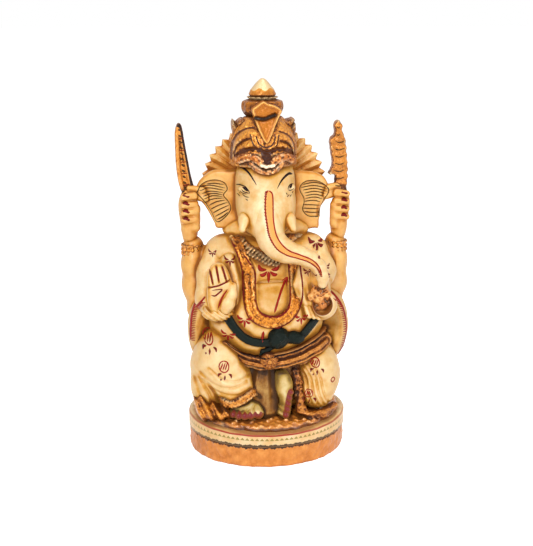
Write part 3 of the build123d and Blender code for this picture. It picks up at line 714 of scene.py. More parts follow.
def crest_skin(p):
    """A pointed leaf leaning back, ridged down the middle, with a curved slot cut across."""
    lean = -9.7 + 0.30 * (p[2] - 133)
    edge = outline_gap(p, CREST, 2)
    plate = meet(edge, np.abs(p[1] - lean) - 2.6, 0.8)
    front = ramp(-(p[1] - lean), 0, 1)
    rim = swell(edge + 0.55, 0.5)
    return (
        plate + front * (1.8 * groove(p, CREST_SLOT, 0.85) + 0.35 * ramp(-edge, 0.9, 1.5) - 0.25 * rim)
        + 0.08 * ripple(p, 0.8)
    )


crest_paint = painted("crest_paint", (190, 112, 22), GOLD_WASH, GOLD_DARK, GILT, stain=1.2, wear=0.3,
                      mottle=1.0, areas=[("pale_rim", (232, 174, 88)), ("slot_line", (24, 12, 6))],
                      metallic=0.2, bump=(0.8, 0.4, 800.0), depth=0.0003)
carve("crown_crest", (-8.8, -16.5, 123.5), (7.0, -3, 144.0), crest_skin, crest_paint, "gilded_paint",
      voxel=0.22,
      paint=lambda p: {"pale_rim": np.abs(outline_gap(p, CREST, 2) + 0.35) - 0.22,
                       "slot_line": line_gap(p, CREST_SLOT) - 0.75})

SCROLLS = {
    "right": [(-13.4, 134.6), (-12.0, 133.6), (-10.4, 135.0), (-8.2, 134.6), (-5.4, 132.6), (-6.4, 130.4),
              (-9.6, 129.8), (-12.6, 128.6), (-13.6, 131.4)],
    "left": [(3.6, 133.4), (4.8, 135.8), (6.6, 134.2), (8.2, 134.4), (10.4, 134.8), (10.9, 131.6),
             (10.4, 128.6), (7.2, 129.4), (4.0, 130.6)],
}
SCROLL_CURLS = {
    "right": [(-12.6, 133.2), (-10.6, 131.0), (-8.4, 131.4), (-7.0, 133.0)],
    "left": [(5.0, 133.8), (6.6, 131.8), (8.8, 131.4), (10.2, 133.4)],
}
for side, line in SCROLLS.items():
    node = f"crown_{side}_scroll"
    low, high = node_box(node)

    def scroll_skin(p):
        """A leaf with pointed tips standing up from the dome, grooved where it curls."""
        leaf = meet(outline_gap(p, line, 3), np.abs(p[1] + 0.6) - 4.2, 1.4)
        return leaf + 0.8 * groove(p, SCROLL_CURLS[side], 0.5) * ramp(-p[1], -1, 2) + 0.22 * ripple(p, 0.8)

    carve(node, low - (1.5, 4.5, 2.5), high + 1.5, scroll_skin, crown_paint, "gilded_paint", voxel=0.25)

BROW_LOBES = [
    [(-12.0, 120.4), (-9.0, 121.6), (-6.2, 121.2), (-4.2, 120.0)],
    [(1.2, 120.0), (3.4, 121.2), (6.2, 121.4), (8.8, 120.0)],
]
BROW_U = [(-7.4, 119.4), (-5.4, 117.2), (-1.6, 116.0), (2.2, 117.0), (4.4, 119.2)]
BROW_MIDDLE = [(-3.8, 118.7), (-1.4, 118.2), (1.0, 118.7)]


def brow_skin(p):
    """Gilded lobes over the brows and a looped pendant between, standing off the forehead."""
    lines = join(line_gap(p, BROW_LOBES[0]) - 1.5, line_gap(p, BROW_LOBES[1]) - 1.5, 0.2)
    lines = join(lines, line_gap(p, BROW_U) - 0.95, 0.2)
    lines = join(lines, line_gap(p, BROW_MIDDLE) - 0.8, 0.1)
    shell = np.abs(join(head_skin(p), crown_skin(p), 0.5)) - 1.0
    return meet(meet(lines, shell, 0.6), p[1] + 4, 0.1) + 0.2 * ripple(p, 0.7)


# The near-white patch along the middle of the pendant is a painted highlight.
brow_gold = painted("brow_gold_paint", (232, 150, 60), (170, 90, 20), GOLD_DARK, (255, 226, 180), stain=1.3,
                    wear=0.7, mottle=1.4, areas=[("bright", (255, 232, 196))], roughness=0.25, metallic=0.3,
                    bump=(1.0, 0.5, 900.0), depth=0.0004)
carve("brow_ornament", (-14.5, -17.5, 112.5), (12, -2, 124.5), brow_skin, brow_gold, "gilded_paint",
      voxel=0.25, paint=lambda p: {"bright": line_gap(p, BROW_MIDDLE) - 0.55})

HALO_MIDDLE = np.array([0.0, middle("halo")[1], node_box("halo")[1][2] - 25.4])
HALO_PLEATS = 40


def halo_skin(p):
    """A disc pleated like a fan, each pleat ending in a point at the rim."""
    dx, dz = p[0] - HALO_MIDDLE[0], p[2] - HALO_MIDDLE[2]
    out = np.hypot(dx, dz)
    across = HALO_PLEATS * np.arctan2(dx, dz) / (2 * np.pi)
    pleat = np.abs(across - np.round(across)) * 2
    fan = out - (23.6 + 1.9 * pleat)
    front = p[1] - HALO_MIDDLE[1]
    grooves = 1.15 * (1 - pleat) * ramp(out, 11, 17) * ramp(26.5 - out, 0, 2)
    return (
        meet(meet(fan, np.abs(front) - 1.55 + grooves * (front < 0), 0.35), HALO_MIDDLE[2] - 4.2 - p[2],
             0.1)
        + 0.08 * ripple(p, 0.9)
    )


halo_paint = painted("halo_paint", (248, 208, 138), (220, 148, 56), (160, 88, 22), (255, 228, 170),
                     stain=1.2, wear=0.4, mottle=0.25, glow=0.15)
carve("halo", *around("halo", 1.2, 1.2), halo_skin, halo_paint, "gilded_paint")

# ---- Rear arms and what they hold ----------------------------------------------------------
# The raised pair of arms: bare cream forearms out of drawn-up sleeves, gilded bangles, hands
# closed round a battle axe and a goad that are carved flat and stained.

AXE = [(-34.0, 132.6), (-32.6, 131.4), (-31.6, 125), (-30.6, 119), (-29.4, 112), (-28.0, 104.8),
       (-32.4, 104.6), (-34.2, 109), (-35.1, 116), (-35.3, 124), (-35.2, 129.6)]
GOAD = [(29.2, 133.0), (27.6, 131.2), (27.9, 127.6), (26.0, 125.4), (26.4, 121), (27.2, 115.4),
        (25.7, 111.6), (28.2, 111.2), (28.3, 107.9), (28.6, 104.6), (32.6, 104.6), (33.1, 108),
        (33.3, 112.6), (32.7, 120.8), (31.9, 126.2), (30.9, 128.2), (30.6, 131.4)]
AXE_EDGE = [(-34.6, 132.4), (-32.7, 131.2), (-31.6, 125), (-30.6, 119), (-29.4, 112), (-28.2, 104.8)]
axe_paint = painted("axe_paint", (228, 152, 62), GOLD_WASH, GOLD_DARK, GILT, stain=1.2, wear=0.6,
                    mottle=0.6, metallic=0.3, areas=[("black_edge", (30, 14, 10))], bump=(1.0, 0.3, 600.0),
                    depth=0.0002)
for side, way in (("right", -1), ("left", 1)):
    def arm_skin(p):
        """A rod up from behind the elbow, with its sleeve drawn back to the shoulder."""
        q = (p[0] * way, p[1], p[2])
        fore = limb(q, [(29.0, 6.0, 83.5), (28.7, 5.6, 76), (28.0, 5.0, 67), (26.4, 4.4, 58.5)],
                    [4.1, 4.9, 5.5, 5.0], 2.5)
        upper = limb(q, [(27.5, 4.2, 57), (24.0, 4.2, 66), (19.5, 4.0, 79)], [4.6, 6.0, 6.6], 2.5)
        return join(fore, upper, 1.5) + 0.1 * ripple(p, 2.5)

    carve(f"{side}_rear_arm", *around(f"{side}_rear_arm", 1.6, 1.6), arm_skin, warm, "cream_paint",
          voxel=PLAIN)

    def bangle_skin(p):
        """Two beaded rings round the wrist."""
        low, high = node_box(f"{side}_rear_bangle")
        dx, dy = p[0] - (low[0] + high[0]) / 2, p[1] - (low[1] + high[1]) / 2
        beads = np.cos(14 * np.arctan2(dx, dy)) * 0.25
        rings = 0.5 * np.cos((p[2] - low[2]) * 2 * np.pi / 1.7)
        return (
            meet((np.hypot(dx, dy) - 4.3 - beads + 0.4 * rings),
                 band_gap(p[2], low[2] - 0.2, high[2] + 1.4), 0.6)
            + 0.12 * ripple(p, 0.7)
        )

    low, high = node_box(f"{side}_rear_bangle")
    carve(f"{side}_rear_bangle", low - 1.6, high + (1.6, 1.6, 3.0), bangle_skin, gold, "gilded_paint",
          voxel=0.25)

    def hand_skin(p):
        """A long palm, its heel to the front, with four fingers folded one above another."""
        q = (p[0] * way, p[1], p[2])
        palm = join(egg(q, (30.3, 6.0, 92.0), (3.5, 4.0, 9.0)), egg(q, (31.2, 5.6, 99.5), (3.4, 3.9, 7.2)),
                    2)
        fingers = [rod(q, (28.4, 2.4, 104.4 - 3.1 * i), (32.6, 2.2, 103.9 - 3.1 * i), 1.65, 1.4)
                   for i in range(4)]
        field = join(joined([palm, *fingers], 0.5), rod(q, (28.0, 3.4, 91.5), (27.4, 2.8, 99.5), 1.9, 1.4),
                     0.8)
        return field + 0.08 * ripple(p, 1.5)

    carve(f"{side}_rear_hand", *around(f"{side}_rear_hand", 1.8, (1.8, 1.8, 5.2)), hand_skin, warm,
          "cream_paint", voxel=0.28)

carve(
    "battle_axe", *around("battle_axe", 1.5, 1.5),
    lambda p: meet(outline_gap(p, AXE),
                   np.abs(p[1] - 6) - 1.9
                   + 0.9 * ramp(-outline_gap(p, AXE) - 1.0, 0, 1.2) * ramp(6 - p[1], 0, 1),
                   0.6) + 0.12 * ripple(p, 1.0),
    axe_paint, "gilded_paint", voxel=0.28,
    paint=lambda p: {"black_edge": line_gap(p, AXE_EDGE) - 0.9},
)
goad_paint = painted("goad_paint", (212, 136, 50), (128, 64, 12), GOLD_DARK, GILT, stain=1.2, wear=0.9,
                     mottle=0.9, metallic=0.3, bump=(1.0, 0.4, 800.0), depth=0.0003)
carve(
    "elephant_goad", *around("elephant_goad", 1.5, 1.5),
    lambda p: meet(outline_gap(p, GOAD),
                   np.abs(p[1] - 6) - 2.1 - 0.4 * groove(p, [(29.2, 131), (29.6, 118), (30.6, 106)], 1.0),
                   0.7)
    + 0.25 * np.sin(p[2] * 2.2) * ramp(6 - p[1], 0, 1) * 0.5 + 0.12 * ripple(p, 0.9),
    goad_paint, "gilded_paint", voxel=0.28,
)

# ---- Front arms, the blessing hand and the bowl of sweets ----------------------------------
# Carved against the body: the right forearm rises to an open hand with a bangle, the left
# hand holds a small bowl heaped with round sweets that the trunk reaches for.


def right_sleeve_skin(p):
    """The arm down from the shoulder and the forearm up behind the hand, in a loose sleeve."""
    upper = limb(p, [(-19.0, 0.5, 82.0), (-22.2, -2.6, 74.0), (-23.6, -5.5, 66.5)], [5.6, 5.6, 5.4], 2.5)
    drape = limb(p, [(-15.2, -7.0, 80), (-14.2, -9.5, 72), (-13.4, -11.6, 64)], [3.4, 3.6, 3.2], 2.0)
    fore = limb(p, [(-24.2, -5.8, 64), (-21.6, -10.4, 61.4)], [5.0, 4.8], 2.0)
    folds = groove(p, [(-13.0, 82), (-11.8, 74), (-12.0, 66), (-13.6, 60)], 0.8)
    return (
        join(join(upper, fore, 2.0), drape, 2.5) + 0.35 * folds * ramp(-p[1], 4, 8) + 0.1 * ripple(p, 2.0)
    )


def left_sleeve_skin(p):
    """The left arm coming forward under the trunk, its sleeve gathered in fine folds."""
    upper = limb(p, [(19.0, 0.5, 82.0), (21.4, -3.5, 74.0), (18.6, -9.5, 67.5), (15.6, -13.0, 64.8)],
                 [5.6, 5.8, 5.0, 3.8], 2.5)
    cuff = limb(p, [(13.2, -9.0, 79), (12.4, -12.0, 71), (13.0, -13.8, 65)], [3.2, 3.3, 3.0], 2.0)
    folds = np.sin(2.2 * p[0] + 0.5 * p[2]) * ramp(-p[1], 5, 9) * ramp(74 - p[2], 0, 4)
    return join(upper, cuff, 2.5) + 0.22 * folds + 0.1 * ripple(p, 2.0)


carve("right_front_sleeve", (-31, -17, 55), (-8.5, 6, 88), right_sleeve_skin, cream, "cream_paint")
carve("left_front_sleeve", (8, -18.5, 58), (28, 6, 88), left_sleeve_skin, cream, "cream_paint")

PALM = [(-25.0, 70.5), (-24.8, 76.4), (-23.6, 79.8), (-21.6, 81.2), (-18.9, 81.0), (-17.0, 78.6),
        (-15.4, 74.0), (-14.3, 70.0), (-14.4, 65.6), (-16.2, 62.2), (-20.8, 60.6), (-23.8, 62.4),
        (-25.0, 66.6)]
FINGER_GAPS = [(-23.9, 79.2), (-22.8, 73.4)], [(-21.6, 81.4), (-20.4, 74.0)], [(-19.4, 81.2), (-17.5, 74.4)]
THUMB = [(-15.0, -16.0, 72.2), (-15.6, -16.8, 69.0), (-17.0, -17.0, 65.6), (-18.0, -16.6, 63.6)]


def palm_skin(p):
    """An upright palm, four fingers parted by cuts, and a fleshy thumb laid across its edge."""
    back = -15.0 + 0.02 * (p[2] - 70)
    edge = outline_gap(p, PALM)
    hand = meet(edge, np.abs(p[1] - back) - 2.3, 2.0)
    front = ramp(-(p[1] - back), 0.2, 1.2)
    cuts = sum(groove(p, line, 0.42) for line in FINGER_GAPS)
    crease = groove(p, [(-24.6, 72.2), (-20.5, 73.0), (-16, 75)], 0.45)
    cup = 0.5 * ramp(-edge - 1.6, 0, 2.4) * ramp(72 - p[2], 0, 2)
    hand = hand + front * (0.6 * cuts + 0.4 * crease + cup)
    return join(hand, limb(p, THUMB, [1.5, 2.0, 2.5, 2.4], 1.0), 0.5)


carve("right_blessing_hand", (-27.0, -21, 58.8), (-12.4, -10.5, 83), palm_skin, cream, "cream_paint",
      voxel=0.25)


def wrist_bangle_skin(p):
    """A broad ring of ribs wrapped under the heel of the hand."""
    ring = egg(p, (-20.6, -13.2, 61.2), (6.4, 5.0, 3.4))
    return ring + 0.22 * np.sin(3.2 * (p[2] + 0.8 * p[0])) + 0.1 * ripple(p, 0.8)


carve("right_wrist_bangle", (-28.5, -19.5, 56.5), (-13.2, -7.0, 66.5), wrist_bangle_skin, cream,
      "gilded_paint", voxel=0.25)


def bowl_hand_skin(p):
    """The left hand curled up under the bowl: a rounded palm and bent fingers."""
    palm = egg(p, (20.2, -12.2, 61.0), (5.8, 6.2, 4.8))
    fingers = [rod(p, (12.6 + 1.9 * i, -14.5, 65.4 - 0.9 * i), (14.6 + 1.9 * i, -18.0, 59.6 - 0.4 * i), 1.3,
                   1.0) for i in range(3)]
    return joined([palm, *fingers], 0.6) + 0.08 * ripple(p, 1.6)


carve("left_bowl_hand", (9.5, -20.5, 54), (28, -4.5, 68), bowl_hand_skin, cream, "cream_paint", voxel=0.28)
BOWL = np.array([20.9, -17.0, 63.6])
bowl_paint = painted("bowl_paint", CREAM, OCHRE, UMBER, PALE, areas=[("maroon_inside", (100, 18, 22))],
                     mottle=0.1)


def bowl_skin(p):
    """A cup tipped to the front, its rim a crescent round the sweets."""
    ball = egg(p, BOWL, (4.9, 4.3, 5.4))
    hollow = egg(p, BOWL + (-1.3, -2.2, 0.9), (3.7, 3.6, 4.0))
    return cut(ball, hollow, 0.5)


carve("sweet_bowl", BOWL - 7, BOWL + 8, bowl_skin, bowl_paint, "cream_paint", voxel=0.25,
      paint=lambda p: {"maroon_inside": egg(p, BOWL + (-1.3, -2.2, 0.9), (3.7, 3.6, 4.0)) - 0.35})
SWEETS = [(18.6, -17.8, 66.2, 2.3), (21.2, -17.6, 67.8, 2.2), (17.6, -17.2, 69.2, 2.2),
          (20.0, -18.2, 64.0, 1.9), (20.6, -16.4, 70.0, 1.8), (15.9, -16.6, 67.2, 1.9),
          (22.4, -17.4, 65.2, 1.6), (18.2, -17.4, 63.0, 1.5)]


def sweets_skin(p):
    """A heap of little balls run together by the paint."""
    return joined((egg(p, (x, y, z), (r, r, r)) for x, y, z, r in SWEETS), 0.35) + 0.25 * ripple(p, 0.7)


sweet_paint = painted("sweet_paint", (244, 190, 110), (206, 122, 50), GOLD_DARK, (255, 240, 200), stain=1.0,
                      wear=0.9, mottle=0.7, roughness=0.3, bump=(1.0, 0.3, 900.0), depth=0.0003)
carve("sweets", (12.6, -21.8, 60.2), (25.5, -12.5, 73.2), sweets_skin, sweet_paint, "gilded_paint",
      voxel=0.25)

# ---- Scarf, snake, belt and collar ---------------------------------------------------------
# Strips left standing on the body when it was carved: a gilded scarf in a long U, a dark
# green snake knotted for a girdle, and a brown belt with a rosette.


def strip(p, proud, gap, width, back=2.0):
    """A band standing proud of the torso along a line, rounded over its edges."""
    shell = meet(torso_skin(p) - proud, -(torso_skin(p) + back), 0.2)
    return meet(meet(shell, gap - width / 2, 0.8), p[1] + 3, 0.1)


SCARF = [(-13.4, 90.0), (-12.2, 88.0), (-10.4, 82.6), (-8.7, 77.3), (-8.3, 70.8), (-8.4, 65.6),
         (-7.0, 61.4), (-3.2, 58.9), (1.0, 58.5), (5.0, 59.9), (8.2, 62.6), (9.6, 66.4), (10.0, 72.0),
         (9.6, 77.6), (9.2, 83.5)]
SNAKE_RIGHT = [(-19.0, 62.4), (-15.9, 57.3), (-12.8, 53.4), (-9.3, 50.9), (-4.7, 49.9), (-1.0, 50.1)]
SNAKE_LEFT = [(5, 51.2), (9.0, 50.4), (12.0, 51.6), (15.0, 54.4), (18.4, 57.4)]
BELT_RIGHT = [(-18.4, 46.6), (-16.2, 44.6), (-12.2, 42.0), (-8.2, 40.9), (-4.5, 40.5), (-1, 40.8)]
BELT_LEFT = [(-1, 40.8), (2.8, 41.2), (9.2, 42.2), (15.1, 44.0), (22.8, 46.6)]
COLLAR = [(-10.2, 88.6), (-8.6, 86.6), (-4.9, 84.3), (-1.3, 82.3), (3.6, 80.9)]
scarf_gold = painted("scarf_paint", (226, 142, 40), (160, 88, 14), GOLD_DARK, (255, 208, 128), stain=1.3,
                     wear=0.7, mottle=2.4, roughness=0.28, metallic=0.35, bump=(1.0, 0.5, 900.0),
                     depth=0.0003)
carve(
    "long_scarf", (-17, -23.5, 54.5), (13.5, -2.5, 92),
    lambda p: strip(p, 1.15, line_gap(p, SCARF), 4.4) + 0.35 * groove(p, SCARF, 0.5)
    + 0.18 * ripple(p, 0.9),
    scarf_gold, "gilded_paint", voxel=0.28,
)
snake_paint = painted("snake_paint", (14, 26, 20), (8, 14, 10), (2, 4, 4), (52, 66, 50), stain=0.8,
                      wear=0.25, mottle=0.4, roughness=0.4, coat=0.0, shine=0.12, bump=(1.0, 0.5, 1200.0),
                      depth=0.0003)
for name, line, low, high in (
    ("snake_belt_right", SNAKE_RIGHT, (-22.5, -24.5, 46), (1.5, -8, 65)),
    ("snake_belt_left", SNAKE_LEFT, (3, -24.5, 46.5), (21.5, -8, 61)),
):
    carve(
        name, low, high,
        lambda p: strip(p, 1.5, line_gap(p, line), 3.5, 1.5) + 0.07 * np.sin(4 * p[0]) * np.sin(4 * p[2]),
        snake_paint, "snake_paint", voxel=0.28,
    )
KNOT_COILS = [
    [(-1.4, 50.8), (1.2, 54.4), (4.6, 53.8), (5.8, 51.0)],
    [(-0.4, 49.0), (3.0, 51.6), (6.2, 53.0)], [(0.4, 54.6), (2.4, 51.2), (1.4, 48.2)],
]


def knot_skin(p):
    """The knot: a lump with its coils raised on it, and the flat head laid to the left."""
    lump = egg(p, (2.2, -19.6, 51.8), (4.3, 3.4, 4.6))
    head = egg(p, (8.4, -18.9, 51.4), (4.4, 2.8, 2.7), (0, 10, 0))
    tail = limb(p, [(1.0, -19.0, 48.6), (-1.6, -18.6, 46.9), (-3.9, -18.2, 45.8), (-4.6, -18.0, 44.6)],
                [1.3, 1.0, 0.8, 0.5], 0.8)
    coils = sum(groove(p, line, 0.55) for line in KNOT_COILS)
    return (
        join(join(lump, head, 0.8), tail, 0.6) - 0.45 * coils * ramp(-p[1], 18.5, 20) + 0.1 * ripple(p, 1.2)
    )


carve("snake_knot", (-6.5, -24.5, 42.5), (14.5, -14, 58), knot_skin, snake_paint, "snake_paint", voxel=0.25)
belt_paint = painted("belt_paint", (214, 142, 58), (154, 84, 20), (40, 12, 6), (232, 168, 96), stain=1.2,
                     wear=0.5, mottle=1.2, roughness=0.35, metallic=0.2, bump=(1.0, 0.3, 700.0),
                     depth=0.0002)
BELT_ROLL_RIGHT = [(-18.0, -9.0, 45.6), (-14.0, -12.6, 43.2), (-9.0, -15.4, 41.4), (-4.0, -16.8, 40.4),
                   (-0.5, -17.0, 40.3)]
BELT_ROLL_LEFT = [(-1.5, -17.0, 40.3), (5.0, -16.8, 41.0), (12.0, -15.2, 42.4), (18.0, -12.4, 44.2),
                  (22.6, -8.6, 46.2)]
for name, line, roll, radii, width, low, high in (
    ("waist_belt_right", BELT_RIGHT, BELT_ROLL_RIGHT, [1.6, 2.1, 2.4, 2.6, 2.7], 6.4, (-21.5, -22, 34),
     (0, -6, 54)),
    ("waist_belt_left", BELT_LEFT, BELT_ROLL_LEFT, [2.7, 2.8, 3.1, 3.2, 2.8], 7.6, (-1, -22, 35),
     (25.5, -4, 56)),
):
    carve(
        name, low, high,
        lambda p: join(strip(p, 2.0, line_gap(p, line), width, 2.5), limb(p, roll, radii, 1.0), 0.6)
        + 0.3 * np.cos(2 * np.pi * (line_gap(p, line) + 0.4) / 1.7)
        + 0.3 * swell(line_gap(p, line) - 1.2, 0.35) + 0.14 * ripple(p, 1.0),
        belt_paint, "gilded_paint", voxel=0.28,
    )
MEDALLION = middle("belt_medallion")


def medallion_skin(p):
    """A domed boss ringed with petals."""
    dx, dz = p[0] - MEDALLION[0], p[2] - MEDALLION[2] - 0.2
    out = np.hypot(dx, dz)
    petals = np.cos(10 * np.arctan2(dx, dz)) * swell(out - 2.3, 0.7)
    button = egg(p, MEDALLION + (0, -1.6, 0.2), (3.7, 2.4, 3.7))
    return button + 0.5 * swell(out - 1.3, 0.35) - 0.3 * petals + 0.1 * ripple(p, 0.8)


carve("belt_medallion", MEDALLION - 6, MEDALLION + 6, medallion_skin, belt_paint, "gilded_paint",
      voxel=0.25)


def collar_skin(p):
    """Two twisted cords over the breast, and a roughened gilded patch at the left shoulder."""
    gap = line_gap(p, COLLAR)
    lower = line_gap(p, [(x - 0.9, z - 1.7) for x, z in COLLAR[1:]])
    cords = join(strip(p, 1.3, gap, 1.7), strip(p, 1.3, lower, 1.7), 0.3)
    twist = np.sin(3.4 * p[0] - 3.4 * p[2])
    patch = strip(p, 1.0, line_gap(p, [(6.8, 87.6), (9.4, 89.6), (12.4, 90.4)]), 4.6)
    return join(cords + 0.2 * twist, patch, 0.3) + 0.2 * ripple(p, 0.7)


carve("collar", (-13.5, -18, 77), (16.5, -2, 95), collar_skin, gold, "gilded_paint", voxel=0.28)

# ---- Shawl, legs and feet ------------------------------------------------------------------
# The seated lower half, cut from the same block: loose cloth hanging at both sides, the right
# knee up in front, the left leg folded flat, and both feet on the gilded ground.

deep_cream = painted("deep_cream_paint", (236, 196, 122), (200, 136, 44), (92, 50, 14), PALE, stain=0.8,
                     wear=0.4, mottle=0.14, glow=0.22)


def shawl_skin(p, way):
    """Cloth bowed out from elbow to knee, its face hollowed behind a thin rolled edge."""
    q = (p[0] * way, p[1], p[2])
    sheet = egg(q, (20.6, 1.0, 50.0), (13.4 if way > 0 else 11.6, 10.5, 18.4))
    hollow = egg(q, (21.0, -12.5, 51), (10.6 if way > 0 else 8.8, 9.5, 14.5))
    folds = 0.25 * np.sin(1.1 * p[2] - 0.9 * q[0]) * ramp(-p[1], 0, 4)
    return cut(sheet, hollow, 2.5) + 0.1 * ripple(p, 2.5) + folds * 0.4


for side, way in (("right", -1), ("left", 1)):
    low, high = node_box(f"{side}_shawl")
    carve(
        f"{side}_shawl", low - (3.5 if way < 0 else 1.5, 3, 3), high + (3.5 if way > 0 else 1.5, 2.5, 3),
        lambda p: shawl_skin(p, way), deep_cream, "cream_paint", voxel=PLAIN,
    )
low, high = node_box("hips")
carve(
    "hips", low - 1.5, high + 1.5,
    lambda p: meet(join(egg(p, (0, 3, 33), (26.2, 17.6, 19.5)), egg(p, (0, 4, 24), (25.5, 16, 10)), 3),
                   band_gap(p[2], low[2] - 0.3, high[2] + 1), 0.4)
    + 0.4 * np.sin(0.9 * p[0]) * ramp(p[1], 6, 12) + 0.1 * ripple(p, 2.5),
    deep_cream, "cream_paint", voxel=HIDDEN,
)

RIGHT_FOLDS = [
    [(-27.7, 36.4), (-22.7, 32.6), (-15.9, 31.9), (-10.4, 33.6)],
    [(-27.3, 32.6), (-21.4, 29.4), (-14.6, 28.6), (-9.0, 30.2)],
    [(-28.4, 34.0), (-25.0, 28.0), (-23.6, 22.5)], [(-30.0, 33.0), (-28.6, 27.6), (-27.6, 22.0)],
    [(-26.0, 33.4), (-22.4, 28.0), (-20.4, 23.0)],
    [(-24.6, 39.0), (-20.0, 35.4), (-14.0, 34.4), (-9.4, 35.6)],
]


def right_leg_skin(p):
    """The raised knee and shin in loose cloth that falls in folds to the ankle."""
    thigh = egg(p, (-20.6, -5.2, 39.0), (10.4, 12.4, 13.2), (0, 12, 0))
    shin = limb(p, [(-19.4, -9.0, 41), (-16.4, -12.0, 33.5), (-13.6, -13.6, 29.0)], [8.8, 8.2, 7.0], 3)
    cloth = limb(p, [(-23.6, -5.5, 36), (-24.2, -6.0, 28.4), (-24.0, -6.5, 23.0)], [7.6, 6.9, 6.6], 3)
    folds = sum(groove(p, line, 0.75) for line in RIGHT_FOLDS)
    front = ramp(-p[1], 3.0, 8.0)
    return (
        join(join(thigh, shin, 3), cloth, 2.5) + 0.6 * np.minimum(folds, 1.3) * front
        + 0.12 * ripple(p, 2.4)
    )


carve("right_leg", *around("right_leg", (2, 3, 3), (3, 2, 3)), right_leg_skin, cream, "cream_paint")

LEFT_FOLDS = [[(9.4 + 1.5 * i, 36.8 + 1.0 * i), (12.2 + 1.8 * i, 32.6 + 0.3 * i), (12.8 + 2.1 * i, 26.4),
               (14.2 + 2.4 * i, 21.6 - 0.2 * i)] for i in range(5)]


def left_leg_skin(p):
    """The folded leg lying out to the side, its cloth in curved folds about the shin."""
    thigh = egg(p, (19.4, -5.0, 34.6), (9.6, 12.2, 13.0), (0, -16, 0))
    shin = limb(p, [(23.0, -7.0, 30), (19.0, -9.6, 25.4), (15.4, -11.0, 26.4)], [5.4, 6.8, 5.4], 4)
    folds = sum(groove(p, line, 0.6) for line in LEFT_FOLDS)
    return (
        join(thigh, shin, 3.5) + 0.65 * np.minimum(folds, 1.2) * ramp(-p[1], 5, 10) + 0.12 * ripple(p, 2.4)
    )


carve("left_leg", *around("left_leg", (2, 2.5, 1.5), 2), left_leg_skin, cream, "cream_paint")

skin_paint = painted("skin_paint", (236, 216, 162), (190, 152, 66), (70, 44, 12), PALE, stain=1.15,
                     wear=0.4, mottle=0.14, glow=0.2, areas=[("toe_paint", (124, 16, 26))])
TOES = [(-15.4, -16.6, 19.4, 1.5), (-13.3, -17.9, 19.3, 1.6), (-11.0, -18.6, 19.4, 1.7),
        (-8.6, -18.6, 19.6, 1.8), (-5.6, -17.8, 20.0, 2.4)]


def right_foot_skin(p):
    """The foot seen from the front: an arched instep and five toes on the ground."""
    foot = join(egg(p, (-10.4, -12.0, 21.4), (6.6, 6.0, 4.4)), egg(p, (-10.2, -8, 20), (5.6, 6, 3.4)), 2)
    for x, y, z, r in TOES:
        foot = join(foot, rod(p, (x * 0.8 - 2.0, y + 5, z + 2.6), (x, y, z - 0.4), r + 0.2, r), 0.35)
    return foot + 0.06 * ripple(p, 1.5)


carve("right_foot", (-19, -22, 15.6), (-0.5, 1, 28), right_foot_skin, skin_paint, "cream_paint", voxel=0.25,
      paint=lambda p: {"toe_paint": np.maximum(p[2] - 20.6 + 0.4 * np.sin(3 * p[0]), p[1] + 15)})

LEFT_SOLE = [(1.4, 31.0), (1.8, 35.6), (3.8, 36.9), (6.5, 35.8), (8.5, 31.9), (8.6, 27.6), (8.2, 22.4),
             (7.6, 17.8), (4.8, 16.9), (3.7, 20.5), (3.2, 24.5), (1.9, 28.0)]
LEFT_TOES = [(5.2, 18.4, 1.5), (5.8, 20.8, 1.4), (6.2, 23.2, 1.3), (6.6, 25.6, 1.25), (7.2, 28.0, 1.2)]


def left_foot_skin(p):
    """The left foot hanging from the folded leg, heel up, toes down on the ground."""
    foot = meet(outline_gap(p, LEFT_SOLE), np.abs(p[1] + 15.0) - 3.4, 3.0)
    for x, z, r in LEFT_TOES:
        foot = join(foot, rod(p, (x - 1.6, -15.6, z + 0.6), (x + 0.4, -18.0, z - 0.1), r, r), 0.35)
    return foot + 0.06 * ripple(p, 1.5)


carve("left_foot", (-1.5, -22, 14.8), (12.0, -9, 38.5), left_foot_skin, skin_paint, "cream_paint",
      voxel=0.25,
      paint=lambda p: {"toe_paint": np.maximum(line_gap(p, [(x + 0.5, z) for x, z, r in LEFT_TOES]) - 1.5,
                                               p[1] + 17.0)})

ANKLET = [(-19.5, 25.4), (-16.8, 24.6), (-13.0, 26.4), (-8.0, 28.6), (-5.8, 28.4)]


def anklet_skin(p):
    """A gilded cord wound round the ankle above the foot, with a knot at its inner end."""
    leg = limb(p, [(-15.4, -12.6, 32.5), (-12.4, -13.6, 25.2)], [8.0, 6.4], 2)
    ring = meet(np.abs(leg - 0.3) - 1.1, line_gap(p, ANKLET) - 1.7, 0.8)
    knot = egg(p, (-17.6, -16.8, 24.4), (2.2, 2.0, 2.2))
    return join(meet(ring, p[1] + 8, 0.3), knot, 0.8) + 0.25 * ripple(p, 0.7)


carve("right_anklet", (-23, -24, 20.5), (-3, -6, 32), anklet_skin, gold, "gilded_paint", voxel=0.25)
HEM_ROLL = [(9.6, -12.5, 37.0), (10.8, -14.0, 31), (11.2, -15.0, 25.4), (11.8, -16.4, 20.0),
            (15.5, -18.0, 17.4), (21.0, -16.4, 17.6), (26.4, -11.0, 18.8)]
HEM = [(9.4, 36.6), (10.6, 33), (10.8, 28), (9.6, 22.8), (8.9, 18.4)]


def hem_skin(p):
    """The gathered border of the cloth, down between the left foot and the leg."""
    fold = limb(p, HEM_ROLL, [1.6, 2.0, 2.0, 1.8, 1.5, 1.7, 1.6], 1)
    return (
        fold + 0.45 * swell(line_gap(p, HEM) - 0.2, 0.4) + 0.2 * np.sin(2.6 * p[2]) + 0.2 * ripple(p, 0.7)
    )


carve("left_leg_hem", (6.5, -21, 15.4), (29.5, -7.5, 40), hem_skin, belt_paint, "gilded_paint", voxel=0.25)
pleat_paint = painted("pleat_paint", (214, 172, 96), (138, 86, 20), (52, 26, 2), (240, 214, 160),
                      stain=1.25, wear=0.4, mottle=0.3)


